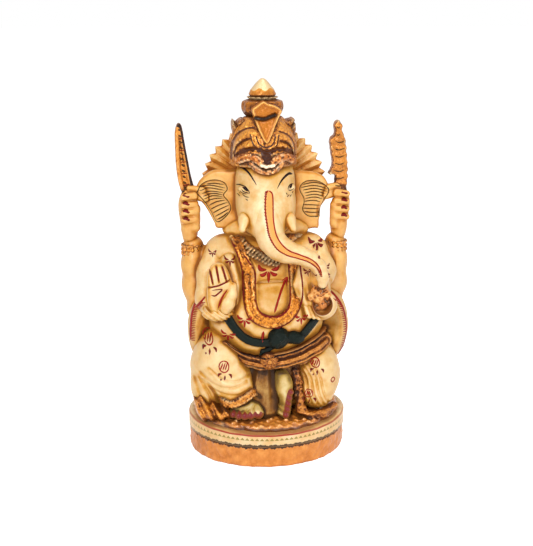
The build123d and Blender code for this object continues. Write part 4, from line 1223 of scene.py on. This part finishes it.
def pleats_skin(p):
    """Narrow pleats hanging in the hollow between the knees."""
    fan = 3.4 * np.arctan2(p[0] + 1.0, 52 - p[2]) * 9
    block = limb(p, [(-3.0, -8.5, 40), (-3.2, -10.4, 30), (-1.6, -11.4, 19)], [6.8, 6.6, 6.2], 3)
    return block + 0.4 * np.sin(fan) + 0.1 * ripple(p, 1.6)


carve("front_pleats", *around("front_pleats", (1, 2, 1), (1.5, 1, 1.5)), pleats_skin, pleat_paint,
      "pleat_paint")


def end_folds_skin(p):
    """The trailing end of the cloth, crumpled on the ground under the right knee."""
    heap = join(egg(p, (-24.6, -11.0, 19.6), (5.8, 6.6, 4.2)),
                egg(p, (-19.4, -14.0, 19.0), (3.6, 4.4, 2.8)), 2)
    heap = join(heap, egg(p, (-28.0, -9.6, 22.6), (2.6, 4.4, 3.6)), 1.5)
    return heap + 0.5 * np.sin(1.7 * p[0] + 0.8 * p[2]) + 0.15 * ripple(p, 1.2)


carve("right_hem_folds", *around("right_hem_folds", (1.8, 2.2, 1.6), (1.5, 1.5, 3.5)), end_folds_skin, gold,
      "gilded_paint", voxel=0.28)

# ---- Plinth and ground ---------------------------------------------------------------------
# An oval plinth in two layers, the lower left rough and gilded, the upper plain cream with a
# painted border; on it the ground is carved in glossy gilded lumps.

block_high = node_box("plinth_block")[1]
band_high = node_box("plinth_band")[1]
ROUND = 1080  # points round each ring
RED_LINE_Z = 14.8
BEAD_Z = (12.0, 13.5)  # foot and tip of the row of painted beads
BEADS = 96


def oval_piece(name, rows, material, nodes, rough, rough_size, seed):
    """A closed solid swept round the oval plinth.

    rows are (share of the half width, height, dip at the front); each point is moved out by
    rough times a noise of the given size, and each end is closed to a single point.
    """
    angle = np.linspace(0, 2 * np.pi, ROUND, endpoint=False)
    half_x, half_y = band_high[0], band_high[1]
    rings = []
    for share, height, dip in rows:
        x = half_x * share * np.cos(angle)
        y = half_y * share * np.sin(angle)
        z = height - dip * np.clip(-np.sin(angle), 0, 1) ** 1.5 + 0 * x
        if share > 0.05:
            noise = (
                ripple((x, y, z), rough_size, seed) + 0.6 * ripple((x, y, z), rough_size * 0.45, seed + 1)
            )
            x, y = x + rough * noise * np.cos(angle), y + rough * noise * np.sin(angle)
        rings.append(np.stack([x, y, z], 1))
    points = np.vstack(rings)
    count = len(rows)
    i, j = np.meshgrid(np.arange(count - 1), np.arange(ROUND), indexing="ij")
    a = i * ROUND + j
    b = i * ROUND + (j + 1) % ROUND
    quads = np.stack([a, b, b + ROUND, a + ROUND], -1).reshape(-1, 4)
    foot, top = len(points), len(points) + 1
    points = np.vstack([points, [[0, 0, rows[0][1]]], [[0, 0, rows[-1][1]]]])
    k = np.arange(ROUND)
    last = (count - 1) * ROUND
    caps = np.vstack([
        np.stack([np.full(ROUND, foot), (k + 1) % ROUND, k], 1),
        np.stack([np.full(ROUND, top), last + k, last + (k + 1) % ROUND], 1),
    ])
    return add_mesh(name, points, [quads, caps], material, nodes)


rough_gold = painted("rough_gold_paint", (244, 168, 86), (206, 122, 44), (120, 64, 18), (255, 222, 160),
                     stain=0.6, wear=0.25, mottle=0.3, roughness=0.34, coat=0.1, metallic=0.05,
                     bump=(1.4, 0.3, 420.0), depth=0.0005, areas=[("dark_edge", (50, 26, 12))])
heights = np.append(np.linspace(0.9, block_high[2] - 2.4, 9),
                    np.linspace(block_high[2] - 1.8, block_high[2] - 0.1, 12))
rows = (
    [(0.955, 0.0, 0), (0.975, 0.25, 0)] + [(0.982, z, 0) for z in heights]
    + [(0.975, block_high[2], 0), (0.9, block_high[2], 0)]
)
block = oval_piece("plinth_block_turned", rows, rough_gold, ["plinth_block"], 0.2, 2.2, 2.0)
block_rows = rows
band_cream = painted("band_paint", (246, 222, 180), (224, 178, 112), (150, 90, 40), PALE, stain=1.0,
                     wear=0.2, mottle=0.12, glow=0.2, roughness=0.32,
                     areas=[("dark_seam", (50, 26, 12)), ("red_line", (160, 40, 28)),
                            ("green_beads", (150, 128, 54))])
RIM = block_high[2]
heights = np.linspace(RIM + 0.5, 15.0, 46)
rows = [(0.9, RIM, 0), (0.972, RIM, 0), (0.99, RIM + 0.35, 0)]
rows += [(np.interp(z, [14.4, 15.0], [0.996, 0.99]), z,
          np.interp(z, [10.2, 12.0, 13.6, 14.4, 15.0], [0, 0.4, 0.9, 1.1, 1.2])) for z in heights]
rows += [(0.97, 15.4, 1.2), (0.93, 15.5, 1.2), (0.7, 15.4, 1.0)]
band = oval_piece("plinth_band_turned", rows, band_cream, ["plinth_band"], 0.05, 6.0, 4.0)
height = np.append(np.repeat([row[1] for row in rows], ROUND), [RIM, 15.4])
angle = np.linspace(0, 2 * np.pi, ROUND, endpoint=False)
travel = np.cumsum(np.hypot(band_high[0] * np.sin(angle), band_high[1] * np.cos(angle))) * 2 * np.pi / ROUND
along = np.append(np.tile(travel, len(rows)), [0, 0])
pitch = travel[-1] / BEADS
beside = np.abs((along / pitch) % 1 - 0.5) * pitch
ragged = 0.12 * np.sin(1.3 * along) + 0.1 * np.sin(3.1 * along + 1) + 0.06 * np.sin(7.3 * along)
mark(band, "red_line", np.abs(height - RED_LINE_Z - 0.05 * np.sin(0.7 * along)) - 0.32)
mark(band, "green_beads", np.maximum((beside - 0.62 * (BEAD_Z[1] - height)) * 0.85, BEAD_Z[0] - height))
mark(band, "dark_seam", height - RIM - 1.25 - 1.3 * ragged)
height = np.append(np.repeat([row[1] for row in block_rows], ROUND), [0, RIM])
along = np.append(np.tile(travel, len(block_rows)), [0, 0])
ragged = 0.2 * np.sin(1.7 * along) + 0.16 * np.sin(4.3 * along + 1) + 0.1 * np.sin(9.1 * along)
mark(block, "dark_edge", RIM - 0.55 - ragged - height)
ground_paint = painted("ground_paint", (240, 160, 64), (200, 120, 44), (90, 44, 14), (255, 220, 150),
                       stain=0.9, wear=0.5, mottle=0.5, roughness=0.22, coat=0.8, metallic=0.2,
                       bump=(1.2, 0.3, 500.0), depth=0.0004)


def ground_skin(p):
    """Low wavy lumps inside the rim, higher under the figure."""
    oval = (np.sqrt((p[0] / 29.6) ** 2 + (p[1] / 24.8) ** 2) - 1) * 25
    waves = 0.55 * ripple(p, 2.0, 1.0) + 0.35 * ripple(p, 1.1, 3.0)
    return meet(oval + 0.5 * ripple(p, 2.4, 5.0), p[2] - 16.6 - waves * 0.9 - 0.04 * np.minimum(-oval, 8),
                1.4)


carve("ground_bed", *around("ground_bed", 1.2, (1.2, 1.2, 2.0)), ground_skin, ground_paint, "gilded_paint",
      voxel=PLAIN, name="ground_carving")

# ---- Brown stain and painted shade, wear and painted highlights on edges -------------------
# The whole idol was washed with brown and wiped: the wash stays in the hollows and leaves the
# high places clean. The darkening of shut-in places is also painted shade, and the brightening of
# edges also a painted highlight. All the carved fields are brought together on one grid to find them.

COARSE = 0.5
ORIGIN = np.array([-38.0, -30.0, 0.0])
CELLS = (152, 118, 304)
union = np.full(CELLS, 3.0, dtype=np.float32)


def sample(field, origin, voxel, points):
    """Trilinear value of a field at points, held at the edge outside it."""
    shape = np.array(field.shape)
    at = np.clip((points - origin) / voxel, 0, shape - 1.001)
    i = at.astype(int)
    f = at - i
    total = 0
    for dx in (0, 1):
        for dy in (0, 1):
            for dz in (0, 1):
                share = np.abs(1 - dx - f[:, 0]) * np.abs(1 - dy - f[:, 1]) * np.abs(1 - dz - f[:, 2])
                total = total + share * field[i[:, 0] + dx, i[:, 1] + dy, i[:, 2] + dz]
    return total


for piece, low, voxel, field in carved:
    high = low + voxel * (np.array(field.shape) - 1)
    first = np.maximum(np.ceil((low - ORIGIN) / COARSE).astype(int), 0)
    last = np.minimum(np.floor((high - ORIGIN) / COARSE).astype(int), np.array(CELLS) - 1) + 1
    axes = [ORIGIN[i] + COARSE * np.arange(first[i], last[i]) for i in range(3)]
    places = np.stack(np.meshgrid(*axes, indexing="ij"), -1).reshape(-1, 3)
    region = tuple(slice(a, b) for a, b in zip(first, last))
    union[region] = np.minimum(union[region],
                               sample(field, low, voxel, places).reshape(union[region].shape))
p = grid_points(ORIGIN, ORIGIN + COARSE * (np.array(CELLS) - 1), COARSE)[0]
oval = (np.sqrt((p[0] / band_high[0]) ** 2 + (p[1] / band_high[1]) ** 2) - 1) * 27
union = np.minimum(union, np.maximum(oval, p[2] - 15.0)[: CELLS[0], : CELLS[1], : CELLS[2]])


def gap_to_skin(points):
    """Distance from places in mm to the skin of the whole idol."""
    return sample(union, ORIGIN, COARSE, points)


# Painted shade: soft dark balls under the belt and rosette, inside the right shawl, between the feet,
# beside the neck and under the knees.
POOLS = [(-1.5, -12, 37.5, 7.0, 0.6), (9.5, -12, 38.0, 4.5, 0.5), (-8.0, -12, 37.0, 4.0, 0.4),
         (-23.5, -6, 52, 6.0, 0.15), (-1.5, -14, 22, 4.5, 0.4), (9.5, -14, 26, 4.0, 0.4),
         (-12.5, -6, 92, 5.0, 0.25), (14.0, -4, 92, 5.0, 0.25), (-20.0, -10, 24, 5.0, 0.25),
         (17, -12, 18, 5.0, 0.3)]


def pooled(points):
    """Painted shade under and between parts, soft balls (x, y, z, radius, amount); bare front darker."""
    total = 0
    for x, y, z, radius, amount in POOLS:
        away = ((points - (x, y, z)) ** 2).sum(axis=1)
        total = total + amount * np.exp(-away / radius**2)
    inside = ramp(-outline_gap(points.T, BARE), -0.5, 1.5)
    return total + 0.2 * inside * (points[:, 1] < -6)


# How far, in mm, each point looks out for a wall or in for an edge, and how much that counts
STAIN_REACHES = (0.8, 0.22), (1.6, 0.26), (3.0, 0.26), (7.0, 0.26)
LIFT_REACHES = (0.7, 0.5), (1.4, 0.5)


def vertex_values(mesh, name):
    """The places or normals of a mesh's points, three to a row."""
    values = np.empty(len(mesh.vertices) * 3, dtype=np.float32)
    mesh.vertices.foreach_get(name, values)
    return values.reshape(-1, 3)


def stain_and_lift(piece):
    """Stores how shut in each point is, and how far it stands out, from the joined field."""
    points = vertex_values(piece.data, "co") / MM
    normals = vertex_values(piece.data, "normal")
    stain, lift = 0, 0
    # Shut-in places are darkened: brown stain, and painted shade.
    for reach, share in STAIN_REACHES:
        open_ = np.clip(gap_to_skin(points + normals * reach) / reach, 0, 1)
        stain = stain + share * (1 - open_)
    # Places that stand out are brightened: wear, and a painted highlight.
    for reach, share in LIFT_REACHES:
        depth = np.clip(-gap_to_skin(points - normals * reach) / reach, 0, 1)
        lift = lift + share * (1 - depth)
    mark(piece, "stain", np.clip(1.9 * stain - 0.14 + pooled(points), 0, 1.2))
    mark(piece, "lift", np.clip(1.5 * lift - 0.5, 0, 1))


for piece in [entry[0] for entry in carved] + [block, band]:
    stain_and_lift(piece)

# ---- Brushed lines -------------------------------------------------------------------------
# Everything drawn on the idol was done freehand with a fine brush in dark maroon, red and
# black: each stroke is a thin raised ribbon of paint laid on the carving.

TOWARDS = -30.0  # where the sight lines start, in front of the idol
SIGHT_STEP = 0.4
strokes = {}


TAPER = (0.3, 0.3)  # the share of a stroke over which each of its ends thins


def lay(colour, points, width, taper=TAPER):
    """Notes one brush stroke: its smooth line, seen from the front, and its full width."""
    strokes.setdefault(colour, []).append((curve(points, 7), width * 1.45, taper))


def land(x, z):
    """The y where a line of sight from the front first meets the skin."""
    depth = np.arange(TOWARDS, 24.0, SIGHT_STEP)
    x, z = np.asarray(x, float), np.asarray(z, float)
    places = np.stack([np.repeat(x, len(depth)), np.tile(depth, len(x)), np.repeat(z, len(depth))], 1)
    gaps = gap_to_skin(places).reshape(len(x), len(depth))
    hit = np.maximum(np.argmax(gaps < 0, axis=1), 1)
    rows_ = np.arange(len(x))
    before, after = gaps[rows_, hit - 1], gaps[rows_, hit]
    y = depth[hit - 1] + SIGHT_STEP * np.clip(before / np.maximum(before - after, 1e-6), 0, 1)
    return np.where(gaps.min(axis=1) < 0, y, np.nan)


def runs(route):
    """The parts of a stroke on one skin: it is cut where the skin ends or steps back."""
    y = land(route[:, 0], route[:, 1])
    step = np.hypot(*np.diff(route, axis=0).T)
    sound = np.abs(np.diff(y)) < 0.6 + 2.0 * step
    parts, start = [], 0
    for i in range(len(route)):
        if i == len(route) - 1 or not sound[i]:
            if i - start >= 2:
                parts.append((slice(start, i + 1), y[start:i + 1]))
            start = i + 1
    return parts


def ribbon_mesh(name, colour, material, proud=0.2):
    """All strokes of one colour as closed ribbons, edges in the skin and middle proud."""
    points, quads, caps = [], [], []
    start = 0
    for route, width, taper in strokes[colour]:
        ahead = np.gradient(route, axis=0)
        length = np.hypot(ahead[:, 0], ahead[:, 1]) + 1e-9
        across = np.stack([-ahead[:, 1] / length, ahead[:, 0] / length], 1)
        t = np.linspace(0, 1, len(route))
        shape = np.clip(np.minimum(t / max(taper[0], 1e-3), (1 - t) / max(taper[1], 1e-3)), 0, 1)
        half_width = (width / 2 * np.maximum(np.sqrt(shape), 0.12))[:, None]
        for part, centre in runs(route):
            reach = 0.3 + 1.2 * half_width[part, 0]
            rows_ = []
            for share, rise in ((-1, -0.02), (0, proud), (1, -0.02), (0, -0.35)):
                xz = route[part] + (across * half_width)[part] * share
                y = land(xz[:, 0], xz[:, 1])
                y = np.clip(np.where(np.isnan(y), centre, y), centre - reach, centre + reach)
                place = np.stack([xz[:, 0], y, xz[:, 1]], 1)
                slope = [gap_to_skin(place + step) - gap_to_skin(place - step) for step in np.eye(3) * 0.5]
                normal = np.stack(slope, 1)
                normal = normal / (np.linalg.norm(normal, axis=1, keepdims=True) + 1e-6)
                rows_.append(place + normal * rise)
            rows_ = np.stack(rows_, 1)
            count = len(rows_)
            points.append(rows_.reshape(-1, 3))
            i, j = np.meshgrid(np.arange(count - 1), np.arange(4), indexing="ij")
            a, b = start + i * 4 + j, start + i * 4 + (j + 1) % 4
            quads.append(np.stack([a, b, b + 4, a + 4], -1).reshape(-1, 4)[:, ::-1])
            last = start + (count - 1) * 4
            caps.append([[start, start + 1, start + 2, start + 3], [last + 3, last + 2, last + 1, last]])
            start += count * 4
    caps = np.array(caps).reshape(-1, 4)[:, ::-1]
    return add_mesh(name, np.vstack(points), [np.vstack(quads), caps], material, [])


def spray(colour, x, z, size=1.0, lean=0.0):
    """The little flower of five brush touches fanning out of a point."""
    for way in (-1, 1):
        upper = [(x + way * a * size, z + b * size) for a, b in ((0.5, -0.2), (1.7, -0.1), (2.3, 1.0))]
        lower = [(x + way * a * size, z + b * size) for a, b in ((0.3, -0.6), (1.2, -1.4), (2.0, -1.3))]
        lay(colour, upper, 0.75 * size, (0.5, 0.4))
        lay(colour, lower, 0.7 * size, (0.5, 0.4))
    lay(colour, [(x, z - 0.6 * size), (x + lean, z - 3.2 * size)], 0.65 * size, (0.3, 0.6))


def bud_motif(x, z, r, lean=0.0):
    """A round bud in outline, hatched inside, with three curved touches under it."""
    ring = [(x + r * math.sin(a), z + 1.15 * r * math.cos(a)) for a in np.linspace(0, 2 * math.pi, 9)]
    lay("red", ring, 0.36, (0.01, 0.01))
    for shift in (-0.45, 0.05, 0.5):
        lay("red", [(x + r * (shift - 0.3), z - 0.7 * r), (x + r * (shift + 0.25), z + 0.75 * r)], 0.42)
    x, z = x + 0.4 + lean, z - 1.3 * r
    touches = (
        (0.7, (-1.3, -0.2), (-2.4, -0.6), (-2.7, -1.7)), (0.7, (1.3, -0.2), (2.2, -0.8), (2.3, -1.9)),
        (0.6, (-0.1, -0.8), (-0.3, -2.9)), (0.5, (-1.5, -2.3), (-1.8, -3.1)),
    )
    for width, *line in touches:
        lay("maroon", [(x + a, z + b) for a, b in line], width, (0.4, 0.5))


# Trunk stripe: its outlines, and beads down its left edge
for x, z in curve(STRIPE_LEFT, 5)[3:]:
    lay("maroon", [(x - 0.55, z + 0.15), (x + 0.45, z - 0.15)], 0.36)
for line in (STRIPE_LEFT, STRIPE_RIGHT):
    lay("red", line, 0.42, (0.03, 0.05))
# Brows, lids and lashes
lay("ink", [(-12.3, 116.2), (-11.2, 117.0), (-9.7, 116.7), (-8.2, 115.5), (-6.9, 113.6), (-5.5, 111.2)],
    0.7, (0.15, 0.6))
lay("ink", [(2.2, 109.9), (3.7, 112.2), (5.2, 113.7), (7.2, 114.8), (8.8, 114.4)], 0.7, (0.6, 0.15))
lay("ink", [(-12.6, 109.8), (-11.8, 110.5), (-11.0, 110.7), (-9.7, 110.4), (-8.6, 109.1), (-8.1, 108.0)],
    0.32, (0.2, 0.2))
lay("ink", [(-10.7, 110.2), (-9.7, 109.6), (-8.8, 108.8)], 0.75, (0.4, 0.4))
lay("ink", [(-11.0, 109.3), (-10.4, 108.6), (-9.4, 108.2), (-8.0, 108.1)], 0.3)
lay("brown", [(-11.6, 108.8), (-10.7, 107.9), (-9.2, 107.6)], 0.3)
lay("ink", [(6.6, 109.1), (7.1, 110.2), (7.9, 110.8), (9.0, 110.8)], 0.32, (0.3, 0.2))
lay("ink", [(8.5, 110.6), (7.9, 110.0), (7.4, 109.4)], 0.75, (0.4, 0.4))
lay("ink", [(6.8, 108.9), (7.9, 108.6), (9.1, 109.2)], 0.3)
WRINKLES = [
    [(-12.0, 108.4), (-11.3, 107.6)], [(-10.7, 107.4), (-9.7, 106.7), (-8.3, 106.6)],
    [(-9.7, 105.9), (-8.8, 105.4)],
    [(-12.2, 106.9), (-11.5, 106.4)], [(5.8, 108.0), (6.4, 107.2)], [(6.2, 106.3), (7.2, 107.1)],
    [(7.5, 106.2), (8.1, 106.9)], [(8.5, 107.4), (9.0, 108.0)],
]
for line in WRINKLES:
    lay("brown", line, 0.3, (0.4, 0.4))
# Ear hatching
for line in (RIGHT_FIELD, LEFT_FIELD):
    lay("brown", line + line[:1], 0.36, (0.01, 0.01))
RIGHT_HATCH = [
    [(-23.4, 109.2), (-20.2, 109.5), (-16.9, 109.0)], [(-25.8, 107.9), (-22.2, 108.7), (-16.3, 107.7)],
    [(-26.3, 106.6), (-22.6, 107.6), (-16.5, 106.8)], [(-25.4, 105.5), (-21.9, 106.3), (-17.1, 105.9)],
    [(-25.1, 104.4), (-21.1, 105.4), (-17.3, 105.1)], [(-24.7, 103.4), (-21.1, 104.5), (-17.4, 104.3)],
    [(-23.7, 102.3), (-20.3, 103.4), (-16.9, 103.7)], [(-22.7, 100.6), (-19.6, 102.2), (-16.4, 102.9)],
    [(-22.2, 99.0), (-18.8, 100.8), (-15.4, 102.0)], [(-21.2, 97.6), (-18.0, 99.4), (-14.9, 100.9)],
    [(-20.4, 96.2), (-17.2, 98.0), (-14.7, 99.6)], [(-19.6, 95.0), (-17.1, 96.5), (-15.2, 98.2)],
]
LEFT_HATCH = [
    [(14.4, 108.5), (19.4, 109.0), (24.0, 107.7)], [(13.7, 107.3), (19.0, 107.8), (24.9, 106.2)],
    [(14.4, 106.2), (19.5, 106.6), (24.6, 105.1)], [(15.1, 105.0), (19.5, 105.4), (24.1, 104.2)],
    [(15.4, 103.9), (19.5, 104.2), (23.5, 103.1)], [(15.5, 102.8), (19.5, 103.1), (22.8, 102.1)],
    [(15.1, 101.7), (18.9, 101.8), (22.0, 101.0)], [(14.5, 100.4), (17.9, 100.1), (21.7, 99.6)],
    [(14.5, 99.0), (17.7, 98.6), (21.5, 98.2)], [(15.0, 97.6), (18.1, 97.0), (21.4, 96.8)],
]
for line in RIGHT_HATCH + LEFT_HATCH:
    lay("brown", line, 0.34, (0.15, 0.25))
# Scarf edges
inner = [(-10.2, 83.4), (-6.3, 77.0), (-6.0, 70.8), (-6.2, 65.8), (-5.2, 62.6), (-2.6, 60.9), (1.0, 60.4),
         (4.2, 61.4), (6.6, 63.6), (7.6, 67), (7.9, 72), (7.5, 77.2), (7.2, 82.0)]
outer = [(-14.8, 88.6), (-12.2, 82.4), (-10.9, 77.0), (-10.6, 70.8), (-10.6, 65.0), (-9.0, 60.0),
         (-4.4, 56.9), (1.0, 56.2), (6.2, 57.6), (10.4, 61.4), (12.0, 66.2), (12.2, 72), (11.8, 78.0),
         (11.6, 81.6)]
lay("maroon", inner, 0.55, (0.02, 0.02))
lay("maroon", outer, 0.5, (0.02, 0.02))
# Breast spray, navel stem, small sprays on the shirt
spray("red", -0.6, 77.6, 1.75)
lay("red", [(6.6, 73.0), (5.0, 70.6), (2.6, 66.0), (0.8, 61.6)], 0.7, (0.1, 0.1))
lay("red", [(4.6, 72.3), (6.8, 73.6), (6.4, 70.4)], 0.6, (0.4, 0.4))
for x, z, size in ((-15.6, 81.6, 0.9), (-22.0, 83.4, 0.65), (-10.8, 59.6, 1.15), (11.6, 59.4, 1.05),
                   (19.6, 86.4, 1.4), (-17.0, 52.6, 1.1), (14.8, 77.0, 0.8), (22.6, 77.4, 0.7)):
    spray("maroon" if z > 60 else "red", x, z, size)
lay("red", [(-3.6, 54.8), (-4.2, 50.6)], 0.9, (0.3, 0.4))
# Hand lines
for line in FINGER_GAPS:
    lay("maroon", line, 0.6)
lay("maroon", [(-24.6, 72.2), (-20.5, 73.0), (-16, 75)], 0.5, (0.2, 0.2))
lay("maroon", [(-23.6, 69.4), (-21.8, 69.0), (-19.4, 71.4), (-23.4, 71.2)], 0.5)
lay("red", [(-17.2, 71.4), (-19.6, 67.6), (-21.0, 63.6)], 0.55, (0.4, 0.3))
for side in (-1, 1):
    for i in range(4):
        x, z = side * 31.6, 104.4 - 3.1 * i
        lay("maroon", [(x - 1.4, z + 0.5), (x + 1.3, z - 0.1)], 1.5, (0.3, 0.4))
# Shawl edges with their fringe
EDGE_RIGHT = [(-24.5, 68.4), (-28.2, 63), (-30.3, 57.9), (-31.1, 52.1), (-31.3, 46.6)]
EDGE_LEFT = [(23.8, 67.0), (28.4, 62.4), (31.3, 57.0), (32.5, 49.9), (32.0, 42), (31.0, 37.4)]
for edge, way in ((EDGE_RIGHT, 1), (EDGE_LEFT, -1)):
    lay("red", edge, 0.6, (0.1, 0.1))
    route = curve(edge, 8)
    for x, z in route[6:]:
        lay("red", [(x, z), (x + way * 1.9, z + 0.5)], 0.34, (0.05, 0.5))
# Dashes on the axe and rings on the goad
for i in range(11):
    x, z = -33.6 + 0.16 * i, 130.5 - 2.3 * i
    lay("brown", [(x - 0.4, z), (x + 0.9, z - 0.9)], 0.6)
    if i % 2:
        lay("maroon", [(x - 0.6, z - 1.6), (x + 1.9, z - 1.2)], 0.32)
for i in range(9):
    z = 130.6 - 2.9 * i
    near, far = (28.4, 29.8) if z > 126 else (27.4 + 0.25 * (i % 3), 31.8)
    lay("brown", [(near, z), ((near + far) / 2, z - 0.5), (far, z + 0.1)], 0.4)
# Legs
bud_motif(-24.6, 49.8, 1.7)
bud_motif(-19.1, 40.4, 1.9)
bud_motif(17.6, 39.4, 1.7, 0.5)
bud_motif(15.1, 26.6, 1.5)
lay("red", [(25.2, 32.6), (24.2, 31.6), (25.0, 30.4), (26.0, 31.4), (25.2, 32.6)], 0.35, (0.01, 0.01))
for line in (BELT_RIGHT, BELT_LEFT):
    lay("ink", [(x * 0.98, z + 2.9) for x, z in line], 0.5, (0.1, 0.1))
LINE_COLOURS = {"maroon": (120, 28, 24), "red": (160, 36, 26), "brown": (88, 56, 26), "ink": (34, 12, 10)}
for colour in strokes:
    red, green, blue = LINE_COLOURS[colour]
    line_paint = painted(f"{colour}_line_paint", (red, green, blue), (red * 0.7, green * 0.7, blue * 0.7),
                         (20, 8, 6), (min(red * 1.6, 255), green * 1.8, blue * 1.8), stain=0.5, wear=0.1,
                         mottle=0.8, roughness=0.45, coat=0.0, shine=0.15, tint=0.0)
    piece = ribbon_mesh(f"{colour}_brush_strokes", colour, line_paint)
    mark(piece, "stain", np.full(len(piece.data.vertices), 0.2))
    mark(piece, "lift", np.full(len(piece.data.vertices), 0.2))

# ---- Studio --------------------------------------------------------------------------------
# A white sweep, a broad soft light high at the front left, a weaker one at the right, and a
# small one overhead for the glints on the gilding.


WORLD_LEVEL = 0.30  # the light of the white room on the object
PAPER_GLOW = 0.75  # what brings the lit paper up to white where it is seen


def emit(name, place, size, power):
    """A square soft light aimed at the idol."""
    lamp = bpy.data.lights.new(name, "AREA")
    lamp.size = size
    lamp.energy = power
    aim(name, lamp, Vector(place), Vector((0, 0, 0.075)))


def aim(name, data, place, target):
    """Puts a lamp or camera in place, pointing at its target."""
    rig = bpy.data.objects.new(name, data)
    rig.location = place
    rig.rotation_euler = (target - rig.location).to_track_quat("-Z", "Y").to_euler()
    bpy.context.scene.collection.objects.link(rig)
    return rig


def seen_plainly(tree):
    """1 for rays that show the white room itself: straight, mirrored or let through."""
    path = add_node(tree, "LightPath").node.outputs
    straight = maths(tree, "MAXIMUM", path["Is Camera Ray"], path["Is Glossy Ray"])
    return maths(tree, "MAXIMUM", straight, path["Is Transmission Ray"])


emit("key_light", (-0.26, -0.58, 0.46), 0.28, 3.5)
emit("fill_light", (0.55, -0.42, 0.22), 0.40, 1.5)
emit("top_light", (0.05, -0.05, 0.70), 0.25, 1.2)
bpy.context.scene.view_settings.view_transform = "Standard"
world = bpy.data.worlds.new("studio")
bpy.context.scene.world = world
world.use_nodes = True
background = world.node_tree.nodes["Background"].inputs
background["Color"].default_value = (1, 1, 1, 1)
level = add_node(world.node_tree, "MapRange", Value=seen_plainly(world.node_tree), To_Min=WORLD_LEVEL,
                 To_Max=1.0)
feed(world.node_tree, background["Strength"], level)

floor_mesh = bpy.data.meshes.new("floor")
floor_mesh.from_pydata([(-6, -6, 0), (6, -6, 0), (6, 6, 0), (-6, 6, 0)], [], [(0, 1, 2, 3)])
floor = bpy.data.objects.new("floor", floor_mesh)
bpy.context.scene.collection.objects.link(floor)
paper = bpy.data.materials.new("white_paper")
paper.use_nodes = True
tree = paper.node_tree
place = add_node(tree, "TexCoord", out="Object")
grain = add_node(tree, "TexNoise", Vector=place, Scale=900.0)
settings = {
    "Roughness": 0.9, "Specular IOR Level": 0.0, "Emission Color": (1, 1, 1, 1),
    "Base Color": add_node(tree, "MapRange", Value=grain, To_Min=0.93, To_Max=0.97),
    "Emission Strength": maths(tree, "MULTIPLY", seen_plainly(tree), PAPER_GLOW),
}
for key, value in settings.items():
    feed(tree, tree.nodes["Principled BSDF"].inputs[key], value)
floor_mesh.materials.append(paper)

view = bpy.data.cameras.new("view")
view.lens = 65.4
view.sensor_width = 36.0
view.clip_start = 0.01
CAMERA_PLACE = Vector((-0.046975, -0.382579, 0.179531))  # 7 degrees to the right and 15.5 above
CAMERA_AIM = Vector((0, 0, 0.072635))
bpy.context.scene.camera = aim("view", view, CAMERA_PLACE, CAMERA_AIM)
